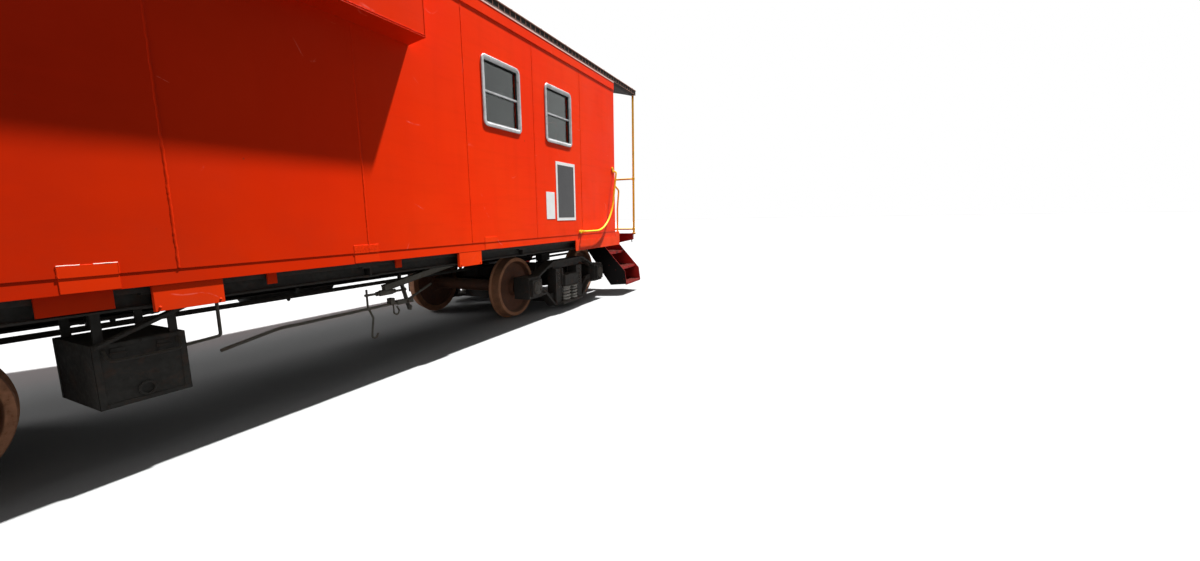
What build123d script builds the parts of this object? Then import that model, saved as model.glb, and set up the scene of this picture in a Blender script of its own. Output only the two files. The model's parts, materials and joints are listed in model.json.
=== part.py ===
from build123d import *
import os
from math import cos, pi, radians, sin

os.makedirs("parts", exist_ok=True)

# A wide vision caboose with +X towards its front end and +Z up, in millimetres.
# Heights are given above the rail head. The pieces are written out one flange depth
# higher, so that the wheel flanges stand on the ground plane.
flange_depth = 25.4

# Body shell
body_length = 9144
body_width = 2844
wall = 70
sill_bottom = 1037
sheet_bottom = 1119
sheet_proud = 3
floor_bottom = 1000
floor_top = 1100
eave = 3600
letterboard_low = eave - 135
letterboard_proud = 8
seat_gap = 1
half_length = body_length / 2
half_width = body_width / 2
inner_half = half_width - wall

# Roof
roof_overhang = 10
roof_edge = 85
roof_crown = eave + 270
roof_shell = 60
canopy_reach = 1000

# Cupola
cupola_front = half_length - 4330
cupola_length = 2740
cupola_rear = cupola_front - cupola_length
cupola_half = 1626
cupola_wall = 60
bay_low = eave - 755
bay_corner = bay_low + 25
bay_plate = 30
cupola_eave = eave + 820
cupola_crown = cupola_eave + 177
cupola_overhang = 45
cupola_edge = 55
cupola_shell = 50

side_window_sill = floor_top + 1280
# Side windows as place along the body, width, height and sill height
side_windows = [
    (half_length - 1829, 610, 660, side_window_sill),
    (half_length - 3048, 610, 660, side_window_sill),
    (1219 - half_length, 610, 660, side_window_sill),
]
cupola_side_sill = cupola_eave - 485
cupola_end_sill = cupola_eave - 445
# Cupola windows as offset from the middle of the wall, width, height and sill height
cupola_side_windows = [(-640, 960, 400, cupola_side_sill), (640, 960, 400, cupola_side_sill)]
cupola_end_windows = [(-800, 860, 330, cupola_end_sill), (800, 860, 330, cupola_end_sill)]
end_window_y = 860
end_window_width = 430
end_window_height = 560
end_window_sill = floor_top + 1300
frame_lip = 14
frame_cover = 34
frame_proud = 14
frame_corner = 28
glass_thickness = 8

# End doors
doorway_width = 660
doorway_height = 1960
door_gap = 7
door_thickness = 44
door_window_width = 380
door_window_height = 520
door_window_sill = floor_top + 1180
door_panel_recess = 8
door_rail = 95
hinge_radius = 6.5
hinge_gap = 0.5
hinge_length = 110
hinge_leaf = 32

# Underframe
sill_half = 165
sill_web = 12
sill_low = 735
sill_flange_half = 280
sill_flange = 14
cross_top = floor_bottom
bolster_half = 190
bolster_end_depth = 90
bolster_root_low = sill_low
bolster_web_x = 120
crossbearer_half = 6
crossbearer_flange_half = 75
centre_plate_radius = 168
centre_plate_low = 656
side_bearing_y = 635
side_bearing_low = 698
side_bearing_half = 120
side_bearing_width = 110
bearing_block_top = 830
bolster_block_top = 800

# Platforms and their steps, with the decks inside the skirt plates at the body corners
skirt_plate = 12
platform_length = 1000
sill_end = half_length + platform_length
deck_top = floor_top - 50
deck_plate = 20
deck_half = half_width - skirt_plate
well_front = 900
well_rear = 200
well_inner = 950
end_sill_thickness = 70
end_sill_half = deck_half - 40
end_sill_low = 930
end_sill_deep = 862
end_sill_deep_half = 1050
stringer = 10
tread_plate = 22
tread_lip = 45
# Steps as inner and outer distance from the centreline and height of the top
treads = [(1262, 1532, 200), (1120, 1440, 470), (935, 1205, 735)]
striker_reach = 130
striker_plate = 30
carrier_height = 40

# Side plates that hang under the body, as rear and front distance from the front
# end wall, height of the lower edge, and distance in from the body's side
plate_thickness = 12
hanging_plates = [
    (6637, 6364, 937, 40),
    (6220, 5888, 891, 19),
    (5623, 5564, 962, 40),
    (4597, 4535, 962, 40),
    (3860, 3525, 892, 19),
]
skirt_back = 1435
skirt_reach = 180
skirt_low = 880
skirt_top = 1110
skirt_cap = 62

# Railings, grab irons and ladders
post_radius = 20
rail_radius = 16
post_edge = 22
post_y = deck_half - post_edge
post_inset = 34
top_rail = deck_top + 1030
low_rail = deck_top + 80
gate_half = 340
gate_corner = 160
grab_radius = 15
grab_standoff = 58
grab_foot = 34
grab_back = 1240
grab_turn = 335
grab_head = 54
grab_sweep = 680
# Corner grab iron as reach past the end wall and height, from its foot to the wall
corner_grab_inset = 22
corner_grab = [(155, 1110), (155, 1500), (225, 1830), (6, 1922.5)]
corner_grab_bends = [300, 50]
rod_sides = 6
ladder_inner = 640
ladder_outer = 1060
ladder_radius = 13
ladder_rungs = 7
rung_radius = 9
ladder_first_rung = deck_top + 330
ladder_rung_pitch = 300
ladder_hoop = roof_crown + 140
ladder_hoop_corner = 150
ladder_landing = 420
ladder_gap = 32
ladder_foot_bend = 28
ladder_foot_drop = 62

# Trucks and wheels
truck_inset = 1120
truck_x = half_length - truck_inset
# Crossbearer places along the body and depth at the centre sill
crossbearers = [
    (1852 - truck_x, 215),
    (-250, 245),
    (900, 245),
    (truck_x - 1552, 215),
]
wheelbase = 1981
wheel_radius = 419.1
axle_height = wheel_radius
back_to_back = 1356
rim_width = 145
rim_depth = 62
hub_half = 88
hub_radius = 122
flange_width = 34
flange_tip = 14
tread_taper = 8
plate_dish = 20
wheel_seat_radius = 84
journal_radius = 70
journal_end = 1088
journal_clearance = 4
box_inner = 888
box_outer = 1130
box_half = 150
box_half_height = 148
box_chamfer = 25
lid_depth = 42
lid_half = 112
frame_middle_y = 1040
frame_web = 46
frame_depth = 150
frame_flange = 30
spring_radius = 70
spring_wire = 17
spring_seat = 100
seat_thickness = 35
seat_reach = 60
spring_height = 230
spring_turns = 4.5
spring_pitch_x = 220
spring_rows_y = (968, 1112)
coil_steps = 8
coil_sides = 4
truck_bolster_half = 205
truck_bolster_end = 1160
truck_bolster_top = centre_plate_low - 16
truck_bolster_end_top = 500
bolster_shoulder = 760
bolster_slope = 140
bolster_belly = 560
bolster_belly_low = 300
side_bearing_gap = 8
plank_half = 190
plank_flange = 24
plank_flange_height = 70
plank_flange_inset = 60
bowl_clearance = 6
bowl_wall = 26
bowl_depth = 30
shoe_gap = 6
shoe_thickness = 44
shoe_half_angle = 24
shoe_holder = 40
shoe_inset = 15
holder_half = 60
beam_plate = 22
beam_half = 42
beam_overlap = 6
hanger_end = 20
hanger_width = 34
hanger_bar = 26
hanger_low = 668
hanger_high = 696

# Couplers
coupler_height = 876
pulling_face = sill_end + 478
coupler_pivot = sill_end - 272
shank_half = 65
shank_height = 150
head_height = 270
head_back = 250
knuckle_height = 230
knuckle_pin_x = pulling_face - 105
knuckle_pin_y = -92
knuckle_radius = 68
knuckle_clearance = 10

# Hand brake
brake_y = 720
brake_z = 1750
brake_wheel_radius = 280
brake_rim_radius = 14
brake_hub_radius = 34
brake_spokes = 5
brake_spoke_radius = 11
hub_gap = 6
brake_hub_length = 60
housing_width = 240
housing_height = 330
bracket_y = 90

# Air brake tanks as x, y, height of the middle, radius and length, and the train pipe
air_tanks = [(320, 800, 700, 190, 880), (-1150, 760, 730, 155, 580)]
tank_strap_place = 0.3
tank_strap_half = 22
pipe_y = -sill_flange_half - 50
pipe_z = 700
pipe_radius = 21
cock_half = 45
cock_width = 66
cock_reach = 60
pipe_bracket = 40
pipe_hanger = 30
nipple_radius = 24
nipple_length = 60

# Interior
locker_inner = 420
locker_gap = 5
locker_top = bay_low
seat_pan = locker_top + 445
seat_size = 480
seat_pedestal = 110
seat_cushion = 110
seat_back = 100
seat_back_height = 480
seat_spread = 780
seat_y = 880
bunk_x0 = 1750
bunk_x1 = 3700
bunk_depth = 640
bunk_height = floor_top + 420
desk_x0 = 1300
desk_x1 = 2500
desk_depth = 620
desk_height = floor_top + 765
desk_plate = 32
cabinet_width = 420
stove_x = 1050
stove_y = 930
stove_radius = 235
stove_leg = 150
stove_height = 700
stove_leg_pitch = 280
stove_leg_width = 40
flue_radius = 62
flue_top = eave + 40
jack_base_radius = 125
jack_neck = eave + 250
jack_pipe_radius = 78
jack_cap_radius = 140
jack_cap_low = roof_crown + 300
jack_top = jack_cap_low + 90

corner = (Align.MIN, Align.MIN, Align.MIN)
standing = (Align.CENTER, Align.CENTER, Align.MIN)


def block(x0, x1, y0, y1, z0, z1, mode=Mode.ADD):
    """A rectangular piece between two opposite corners"""
    with Locations((x0, y0, z0)):
        Box(x1 - x0, y1 - y0, z1 - z0, align=corner, mode=mode)


def side_plane(y):
    """Upright plane along the car, whose extrusions go towards -Y"""
    return Plane.XZ.offset(-y)


def finish(part, name):
    """Lift a finished piece onto its flanges, label it and write it out"""
    with BuildPart() as lifted:
        with Locations((0, 0, flange_depth)):
            add(part)
    lifted.part.label = name
    export_step(lifted.part, f"parts/{name}.step")


def rod(points, radius, bends, sides=rod_sides):
    """A bar of regular section along straight runs joined by bends of the given radii"""
    with BuildPart() as bar:
        with BuildLine() as path:
            if len(points) > 2:
                FilletPolyline(*points, radius=bends)
            else:
                Line(*points)
        with BuildSketch(Plane(origin=path.line @ 0, z_dir=path.line % 0)):
            RegularPolygon(radius, sides, rotation=180 / sides)
        sweep()
    return bar.part


def turned_round(part):
    """The same piece at the other end of the car"""
    with BuildPart() as turned:
        add(part, rotation=(0, 0, 180))
    return turned.part


def both_sides(part):
    """The piece and its mirror image across the car's centreline"""
    with BuildPart() as pair:
        add(part)
        mirror(about=Plane.XZ)
    return pair.part


# Centre sill with its draft pockets, strikers and body centre plates
with BuildPart() as centre_sill:
    with BuildSketch(Plane.YZ.offset(-sill_end)):
        with BuildLine():
            Polyline(
                (-sill_half - sill_web, floor_bottom),
                (-sill_half - sill_web, sill_low + sill_flange),
                (-sill_flange_half, sill_low + sill_flange),
                (-sill_flange_half, sill_low),
                (-sill_half, sill_low),
                (-sill_half, floor_bottom - sill_web),
                (sill_half, floor_bottom - sill_web),
                (sill_half, sill_low),
                (sill_flange_half, sill_low),
                (sill_flange_half, sill_low + sill_flange),
                (sill_half + sill_web, sill_low + sill_flange),
                (sill_half + sill_web, floor_bottom),
                close=True,
            )
        make_face()
    extrude(amount=2 * sill_end)
    for end in (-1, 1):
        low, high = sorted((end * sill_end, end * (sill_end + striker_reach)))
        with BuildSketch(Plane.YZ.offset(low)):
            with Locations((0, (sill_low + floor_bottom) / 2)):
                Rectangle(2 * sill_half + 4 * sill_web, floor_bottom - sill_low)
                Rectangle(
                    2 * sill_half,
                    floor_bottom - sill_low - 2 * carrier_height,
                    mode=Mode.SUBTRACT,
                )
        extrude(amount=high - low)
        x = end * truck_x
        block(x - bolster_half, x + bolster_half, -sill_half, sill_half, sill_low, bolster_block_top)
        block(
            x - bolster_half,
            x + bolster_half,
            -sill_flange_half,
            sill_flange_half,
            sill_low - striker_plate,
            sill_low,
        )
        with Locations((x, 0, centre_plate_low)):
            Cylinder(
                centre_plate_radius,
                sill_low - striker_plate - centre_plate_low,
                align=standing,
            )
finish(centre_sill.part, "centre_sill")

# Body bolsters and crossbearers, each in two halves beside the centre sill
sill_side = sill_half + sill_web


def cross_beam(x, flange_half, web_places, root_low):
    """The -Y half of a built-up beam across the underframe at x"""
    end_low = cross_top - bolster_end_depth
    with BuildPart() as beam:
        block(
            x - flange_half,
            x + flange_half,
            -inner_half,
            -sill_side,
            cross_top - sill_flange,
            cross_top,
        )
        with BuildSketch(Plane.YZ.offset(x - flange_half)):
            with BuildLine():
                Polyline(
                    (-inner_half, end_low),
                    (-inner_half, end_low + sill_flange),
                    (-sill_flange_half, root_low + 2 * sill_flange),
                    (-sill_side, root_low + 2 * sill_flange),
                    (-sill_side, root_low + sill_flange),
                    (-sill_flange_half, root_low + sill_flange),
                    close=True,
                )
            make_face()
        extrude(amount=2 * flange_half)
        for web in web_places:
            with BuildSketch(Plane.YZ.offset(x + web - crossbearer_half)):
                with BuildLine():
                    Polyline(
                        (-sill_side, cross_top - sill_flange / 2),
                        (-inner_half, cross_top - sill_flange / 2),
                        (-inner_half, end_low + sill_flange / 2),
                        (-sill_flange_half, root_low + 1.5 * sill_flange),
                        (-sill_side, root_low + 1.5 * sill_flange),
                        close=True,
                    )
                make_face()
            extrude(amount=2 * crossbearer_half)
    return beam.part


with BuildPart() as cross_half:
    for end in (-1, 1):
        x = end * truck_x
        add(cross_beam(x, bolster_half, (-bolster_web_x, bolster_web_x), bolster_root_low))
        block(
            x - side_bearing_half,
            x + side_bearing_half,
            -side_bearing_y - side_bearing_width / 2,
            -side_bearing_y + side_bearing_width / 2,
            side_bearing_low,
            bearing_block_top,
        )
    for place, depth in crossbearers:
        add(cross_beam(place, crossbearer_flange_half, (0,), cross_top - depth))
finish(both_sides(cross_half.part), "cross_members")

# Floor between the walls
with BuildPart() as floor:
    block(-half_length, half_length, -inner_half, inner_half, floor_bottom, floor_top)
finish(floor.part, "floor")


# Side walls, with the sill strip set back below the side sheets
def side_wall():
    """The -Y side wall, notched under the cupola bay"""
    with BuildPart() as panel:
        with BuildSketch(side_plane(-inner_half)):
            with BuildLine():
                Polyline(
                    (-half_length, sill_bottom),
                    (half_length, sill_bottom),
                    (half_length, eave),
                    (cupola_front, eave),
                    (cupola_front, bay_low),
                    (cupola_rear, bay_low),
                    (cupola_rear, eave),
                    (-half_length, eave),
                    close=True,
                )
            make_face()
            for place, width, height, sill in side_windows:
                with Locations((place, sill + height / 2)):
                    Rectangle(width, height, mode=Mode.SUBTRACT)
        extrude(amount=wall)
        block(
            -half_length,
            half_length,
            -half_width,
            -half_width + sheet_proud,
            sill_bottom,
            sheet_bottom,
            mode=Mode.SUBTRACT,
        )
        for x0, x1 in ((-half_length, cupola_rear), (cupola_front, half_length)):
            block(x0, x1, -half_width - letterboard_proud, -half_width, letterboard_low, eave)
    return panel.part


right_wall = side_wall()
with BuildPart() as left_wall:
    add(right_wall)
    mirror(about=Plane.XZ, mode=Mode.REPLACE)
finish(right_wall, "side_wall_right")
finish(left_wall.part, "side_wall_left")

# End walls under the roof arch, with a doorway and one window each
arch_inner_crown = roof_crown - roof_shell
with BuildPart() as end_wall:
    with BuildSketch(Plane.YZ.offset(half_length - wall)):
        with BuildLine():
            Polyline(
                (-inner_half, eave - seat_gap),
                (-inner_half, floor_top),
                (inner_half, floor_top),
                (inner_half, eave - seat_gap),
            )
            ThreePointArc(
                (inner_half, eave - seat_gap),
                (0, arch_inner_crown - seat_gap),
                (-inner_half, eave - seat_gap),
            )
        make_face()
        with Locations((0, floor_top + doorway_height / 2)):
            Rectangle(doorway_width, doorway_height, mode=Mode.SUBTRACT)
        with Locations((-end_window_y, end_window_sill + end_window_height / 2)):
            Rectangle(end_window_width, end_window_height, mode=Mode.SUBTRACT)
    extrude(amount=wall)
finish(end_wall.part, "end_wall_front")
finish(turned_round(end_wall.part), "end_wall_rear")


# Arched roofs
def arched_roof(x0, x1, half_outer, half_inner, low, edge, crown, shell):
    """A roof shell with a straight fascia and an arched top"""
    with BuildPart() as shell_part:
        with BuildSketch(Plane.YZ.offset(x0)):
            with BuildLine():
                Line((-half_outer, low), (-half_outer, low + edge))
                ThreePointArc((-half_outer, low + edge), (0, crown), (half_outer, low + edge))
                Polyline((half_outer, low + edge), (half_outer, low), (half_inner, low))
                ThreePointArc((half_inner, low), (0, crown - shell), (-half_inner, low))
                Line((-half_inner, low), (-half_outer, low))
            make_face()
        extrude(amount=x1 - x0)
    return shell_part.part


roof_end = half_length + canopy_reach
with BuildPart() as roof:
    for x0, x1 in ((cupola_front, roof_end), (-roof_end, cupola_rear)):
        add(
            arched_roof(
                x0,
                x1,
                half_width + roof_overhang,
                inner_half,
                eave,
                roof_edge,
                roof_crown,
                roof_shell,
            )
        )
    with Locations((stove_x, stove_y, eave)):
        Cylinder(
            jack_base_radius + seat_gap,
            roof_crown - eave,
            align=standing,
            mode=Mode.SUBTRACT,
        )
finish(roof.part, "roof")


# Cupola sides with the bay pan that carries them out past the body
def cupola_side():
    """The -Y side of the cupola, standing on the body side wall"""
    middle = (cupola_front + cupola_rear) / 2
    with BuildPart() as side:
        with BuildSketch(side_plane(-cupola_half + cupola_wall)):
            with Locations((middle, (bay_corner + cupola_eave) / 2)):
                Rectangle(cupola_length, cupola_eave - bay_corner)
            for offset_x, width, height, sill in cupola_side_windows:
                with Locations((middle + offset_x, sill + height / 2)):
                    Rectangle(width, height, mode=Mode.SUBTRACT)
        extrude(amount=cupola_wall)
        with BuildSketch(Plane.YZ.offset(cupola_rear)):
            with BuildLine():
                Polyline(
                    (-cupola_half, bay_corner),
                    (-half_width, bay_low),
                    (-inner_half, bay_low),
                    (-inner_half, bay_low + bay_plate),
                    (-half_width, bay_low + bay_plate),
                    (-cupola_half + cupola_wall, bay_corner + bay_plate),
                    (-cupola_half, bay_corner + bay_plate),
                    close=True,
                )
            make_face()
        extrude(amount=cupola_length)
    return side.part


finish(both_sides(cupola_side()), "cupola_sides")

# Cupola ends, from the bay pans over the body roof up to the cupola roof
cupola_inner = cupola_half - cupola_wall
with BuildPart() as cupola_ends:
    for x0 in (cupola_front - cupola_wall, cupola_rear):
        with BuildSketch(Plane.YZ.offset(x0)):
            with BuildLine():
                Polyline(
                    (-inner_half, eave),
                    (-inner_half, bay_low + bay_plate),
                    (-half_width, bay_low + bay_plate),
                    (-cupola_inner, bay_corner + bay_plate),
                    (-cupola_inner, cupola_eave - seat_gap),
                )
                ThreePointArc(
                    (-cupola_inner, cupola_eave - seat_gap),
                    (0, cupola_crown - cupola_shell - seat_gap),
                    (cupola_inner, cupola_eave - seat_gap),
                )
                Polyline(
                    (cupola_inner, cupola_eave - seat_gap),
                    (cupola_inner, bay_corner + bay_plate),
                    (half_width, bay_low + bay_plate),
                    (inner_half, bay_low + bay_plate),
                    (inner_half, eave),
                )
                ThreePointArc((inner_half, eave), (0, arch_inner_crown), (-inner_half, eave))
            make_face()
            for offset_y, width, height, sill in cupola_end_windows:
                with Locations((offset_y, sill + height / 2)):
                    Rectangle(width, height, mode=Mode.SUBTRACT)
        extrude(amount=cupola_wall)
finish(cupola_ends.part, "cupola_ends")

cupola_roof = arched_roof(
    cupola_rear - cupola_overhang,
    cupola_front + cupola_overhang,
    cupola_half + cupola_overhang,
    cupola_inner,
    cupola_eave,
    cupola_edge,
    cupola_crown,
    cupola_shell,
)
finish(cupola_roof, "cupola_roof")


# Window frames stand on the outer faces, and the panes fill the openings
def window_frame(width, height):
    """A frame in the XY plane, standing up from it"""
    with BuildPart() as frame:
        with BuildSketch():
            Rectangle(width + 2 * frame_cover, height + 2 * frame_cover)
            chamfer(vertices(), frame_corner)
            Rectangle(width - 2 * frame_lip, height - 2 * frame_lip, mode=Mode.SUBTRACT)
        extrude(amount=frame_proud)
    return frame.part


def window_places():
    """Plane on the outer face, opening width and height, and wall thickness"""
    places = []
    cupola_middle = (cupola_front + cupola_rear) / 2
    for side in (-1, 1):
        for place, width, height, sill in side_windows:
            origin = (place, side * half_width, sill + height / 2)
            places.append((origin, (-side, 0, 0), (0, side, 0), width, height, wall))
        for offset_x, width, height, sill in cupola_side_windows:
            origin = (cupola_middle + offset_x, side * cupola_half, sill + height / 2)
            places.append((origin, (-side, 0, 0), (0, side, 0), width, height, cupola_wall))
    for x, way in ((cupola_front, 1), (cupola_rear, -1)):
        for offset_y, width, height, sill in cupola_end_windows:
            origin = (x, offset_y, sill + height / 2)
            places.append((origin, (0, way, 0), (way, 0, 0), width, height, cupola_wall))
    for way in (-1, 1):
        origin = (way * half_length, -way * end_window_y, end_window_sill + end_window_height / 2)
        size = (end_window_width, end_window_height, wall)
        places.append((origin, (0, way, 0), (way, 0, 0), *size))
    return places


with BuildPart() as window_frames:
    for origin, x_dir, z_dir, width, height, depth in window_places():
        with Locations(Plane(origin=origin, x_dir=x_dir, z_dir=z_dir)):
            add(window_frame(width, height))
finish(window_frames.part, "window_frames")

with BuildPart() as window_glass:
    for origin, x_dir, z_dir, width, height, depth in window_places():
        with Locations(Plane(origin=origin, x_dir=x_dir, z_dir=z_dir)):
            with Locations((0, 0, -depth / 2)):
                Box(width, height, glass_thickness)
finish(window_glass.part, "window_glass")

# End doors, flush with the inner face of the wall, which swing in on a hinge with its
# barrels just inside that face
door_inner = half_length - wall
door_outer = door_inner + door_thickness
door_half = doorway_width / 2 - door_gap
door_low = floor_top + door_gap
door_high = floor_top + doorway_height - door_gap
door_glass_middle = door_window_sill + door_window_height / 2
hinge_x = door_inner - hinge_radius - hinge_gap
hinge_y = -(doorway_width / 2 - door_gap / 2)
with BuildPart() as door:
    block(door_inner, door_outer, -door_half, door_half, door_low, door_high)
    block(
        door_inner,
        door_outer,
        -door_window_width / 2,
        door_window_width / 2,
        door_window_sill,
        door_window_sill + door_window_height,
        mode=Mode.SUBTRACT,
    )
    for face in (door_inner, door_outer - door_panel_recess):
        block(
            face,
            face + door_panel_recess,
            -door_half + door_rail,
            door_half - door_rail,
            door_low + 2 * door_rail,
            door_window_sill - door_rail,
            mode=Mode.SUBTRACT,
        )
    for z in (door_low + door_rail, (door_low + door_high) / 2, door_high - door_rail - hinge_length):
        with Locations((hinge_x, hinge_y, z)):
            Cylinder(hinge_radius, hinge_length, align=standing)
        block(hinge_x, door_inner, hinge_y, hinge_y + hinge_leaf, z, z + hinge_length)
finish(door.part, "door_front")
finish(turned_round(door.part), "door_rear")

with BuildPart() as door_glass:
    with Locations(((door_inner + door_outer) / 2, 0, door_glass_middle)):
        Box(glass_thickness, door_window_width, door_window_height)
finish(door_glass.part, "door_glass_front")
finish(turned_round(door_glass.part), "door_glass_rear")

# Platforms with their step wells and end sills
well_x0 = half_length + well_rear
well_x1 = half_length + well_front
with BuildPart() as platform:
    block(half_length, sill_end, -well_inner, well_inner, deck_top - deck_plate, deck_top)
    block(half_length, well_x0, -deck_half, deck_half, deck_top - deck_plate, deck_top)
    block(well_x1, sill_end, -deck_half, deck_half, deck_top - deck_plate, deck_top)
    with BuildSketch(Plane.YZ.offset(sill_end - end_sill_thickness)):
        with BuildLine():
            Polyline(
                (-end_sill_half, deck_top - deck_plate),
                (-end_sill_half, end_sill_low),
                (-end_sill_deep_half, end_sill_deep),
                (-sill_flange_half - carrier_height, end_sill_deep),
                (-sill_flange_half - carrier_height, floor_bottom),
                (sill_flange_half + carrier_height, floor_bottom),
                (sill_flange_half + carrier_height, end_sill_deep),
                (end_sill_deep_half, end_sill_deep),
                (end_sill_half, end_sill_low),
                (end_sill_half, deck_top - deck_plate),
                close=True,
            )
        make_face()
    extrude(amount=end_sill_thickness)
    block(
        half_length,
        sill_end - end_sill_thickness,
        -sill_half,
        sill_half,
        floor_bottom,
        deck_top - deck_plate,
    )
finish(platform.part, "platform_front")
finish(turned_round(platform.part), "platform_rear")

# Steps between two stringers on each side of a platform
stringer_back = 780
stringer_outline = [
    (-stringer_back, deck_top - deck_plate),
    (-well_inner, deck_top - deck_plate),
    (-1165, 785),
    (-1510, 404),
    (-1540, 170),
    (-1230, 140),
    (-stringer_back, 750),
]
with BuildPart() as steps:
    for x in (well_x0, well_x1 - stringer):
        with BuildSketch(Plane.YZ.offset(x)):
            with BuildLine():
                Polyline(*stringer_outline, close=True)
            make_face()
        extrude(amount=stringer)
    for inner, outer, top in treads:
        block(well_x0, well_x1, -outer, -inner, top - tread_plate, top)
        block(well_x0, well_x1, -outer, -outer + stringer, top - tread_lip, top)
    mirror(about=Plane.XZ)
finish(steps.part, "steps_front")
finish(turned_round(steps.part), "steps_rear")

# Side plates: skirts at the body corners and short plates along the sill
with BuildPart() as side_plates:
    with BuildSketch(side_plane(-half_width + skirt_plate)):
        with BuildLine():
            Polyline(
                (half_length - skirt_back, skirt_low),
                (half_length + skirt_reach, skirt_low),
                (half_length + skirt_reach, skirt_top),
                (half_length, skirt_top),
                (half_length, sill_bottom),
                (half_length - skirt_back, sill_bottom),
                close=True,
            )
        make_face()
    extrude(amount=skirt_plate)
    block(
        half_length,
        half_length + skirt_reach,
        -half_width,
        -half_width + skirt_cap,
        skirt_top - skirt_plate,
        skirt_top,
    )
    mirror(about=Plane.YZ)
    for back, front, low, inset in hanging_plates:
        block(
            half_length - back,
            half_length - front,
            -half_width + inset,
            -half_width + inset + plate_thickness,
            low,
            sill_bottom,
        )
    mirror(about=Plane.XZ)
finish(side_plates.part, "sill_plates")

# End railings with corner posts and gate posts, and a roof ladder at each end
rail_x = sill_end - post_inset
ladder_x = roof_end + ladder_radius + ladder_gap


def roof_height(y):
    """Height of the outer face of the roof at y"""
    rise = roof_crown - eave - roof_edge
    half = half_width + roof_overhang
    radius = (half**2 + rise**2) / (2 * rise)
    return roof_crown - radius + (radius**2 - y**2) ** 0.5


with BuildPart() as railing:
    for side in (-1, 1):
        with Locations((rail_x, side * post_y, deck_top)):
            Cylinder(
                post_radius,
                eave - deck_top,
                align=standing,
            )
        add(
            rod(
                [
                    (rail_x, side * post_y, top_rail),
                    (rail_x, side * gate_half, top_rail),
                    (rail_x, side * gate_half, deck_top),
                ],
                rail_radius,
                gate_corner,
            )
        )
        add(
            rod(
                [(rail_x, side * post_y, low_rail), (rail_x, side * gate_half, low_rail)],
                rail_radius,
                0,
            )
        )
finish(railing.part, "end_railing_front")
finish(turned_round(railing.part), "end_railing_rear")

with BuildPart() as ladder:
    for y in (ladder_inner, ladder_outer):
        add(
            rod(
                [
                    (sill_end, y, deck_top - ladder_foot_drop),
                    (ladder_x, y, deck_top - ladder_foot_drop),
                    (ladder_x, y, ladder_hoop),
                    (ladder_x - ladder_landing, y, ladder_hoop),
                    (ladder_x - ladder_landing, y, roof_height(y - ladder_radius)),
                ],
                ladder_radius,
                [ladder_foot_bend, ladder_hoop_corner, ladder_hoop_corner],
                sides=4,
            )
        )
    for rung in range(ladder_rungs):
        z = ladder_first_rung + rung * ladder_rung_pitch
        add(rod([(ladder_x, ladder_inner, z), (ladder_x, ladder_outer, z)], rung_radius, 0))
finish(ladder.part, "end_ladder_front")
finish(turned_round(ladder.part), "end_ladder_rear")

# Grab irons beside the steps, four on the sides and four on the body corners. The side
# ones run along the sheet and sweep up towards the corner
side_grab_y = -half_width - grab_standoff
grab_low = 1158
grab_top = 2130
grab_feet = [(half_length - grab_back, grab_low), (half_length - grab_head, grab_top)]
corner_grab_y = corner_grab_inset - half_width
with BuildPart() as grabs:
    add(
        rod(
            [
                (grab_feet[0][0], side_grab_y, grab_low),
                (half_length - grab_turn, side_grab_y, grab_low),
                (grab_feet[1][0], side_grab_y, grab_top),
            ],
            grab_radius,
            grab_sweep,
        )
    )
    for x, z in grab_feet:
        with Locations((x, -half_width - grab_standoff / 2, z)):
            Box(2 * grab_radius, grab_standoff, 2 * grab_radius)
        with Locations((x, -half_width - skirt_plate / 2, z)):
            Box(2 * grab_foot, skirt_plate, 2 * grab_foot)
    add(
        rod(
            [(half_length + reach, corner_grab_y, z) for reach, z in corner_grab],
            grab_radius,
            corner_grab_bends,
        )
    )
    mirror(about=Plane.YZ)
    mirror(about=Plane.XZ)
finish(grabs.part, "grab_irons")


# Wheelsets: an axle with journals at its ends, pressed through two flanged wheels
wheel_middle = (back_to_back + rim_width) / 2
rim_inner = wheel_radius - rim_depth


def axle(x):
    """Axle across the car at x"""
    seat_end = wheel_middle + hub_half
    with BuildPart() as turned:
        with Locations((x, -journal_end, axle_height)):
            Cylinder(journal_radius, 2 * journal_end, rotation=(-90, 0, 0), align=standing)
        with Locations((x, -seat_end, axle_height)):
            Cylinder(wheel_seat_radius, 2 * seat_end, rotation=(-90, 0, 0), align=standing)
    return turned.part


def wheels(x):
    """Both wheels of the axle at x, with flange, coned tread, dished plate and hub"""
    back = back_to_back / 2
    outer = back + rim_width
    with BuildPart() as pair:
        with BuildSketch(Plane(origin=(x, 0, axle_height), x_dir=(0, 1, 0), z_dir=(-1, 0, 0))):
            with BuildLine():
                Polyline(
                    (wheel_middle - hub_half, wheel_seat_radius),
                    (wheel_middle - hub_half, hub_radius),
                    (back, rim_inner),
                    (back, wheel_radius + flange_depth),
                    (back + flange_tip, wheel_radius + flange_depth),
                    (back + flange_width, wheel_radius),
                    (outer, wheel_radius - tread_taper),
                    (outer, rim_inner),
                    (wheel_middle + plate_dish, hub_radius),
                    (wheel_middle + hub_half, hub_radius),
                    (wheel_middle + hub_half, wheel_seat_radius),
                    close=True,
                )
            make_face()
        revolve(axis=Axis((x, 0, axle_height), (0, 1, 0)))
        mirror(about=Plane.XZ)
    return pair.part


axle_offset = wheelbase / 2
wheelset_places = [
    truck_x + axle_offset,
    truck_x - axle_offset,
    -truck_x + axle_offset,
    -truck_x - axle_offset,
]
for number, place in enumerate(wheelset_places, start=1):
    finish(axle(place), f"axle_{number}")
    finish(wheels(place), f"wheels_{number}")

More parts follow.
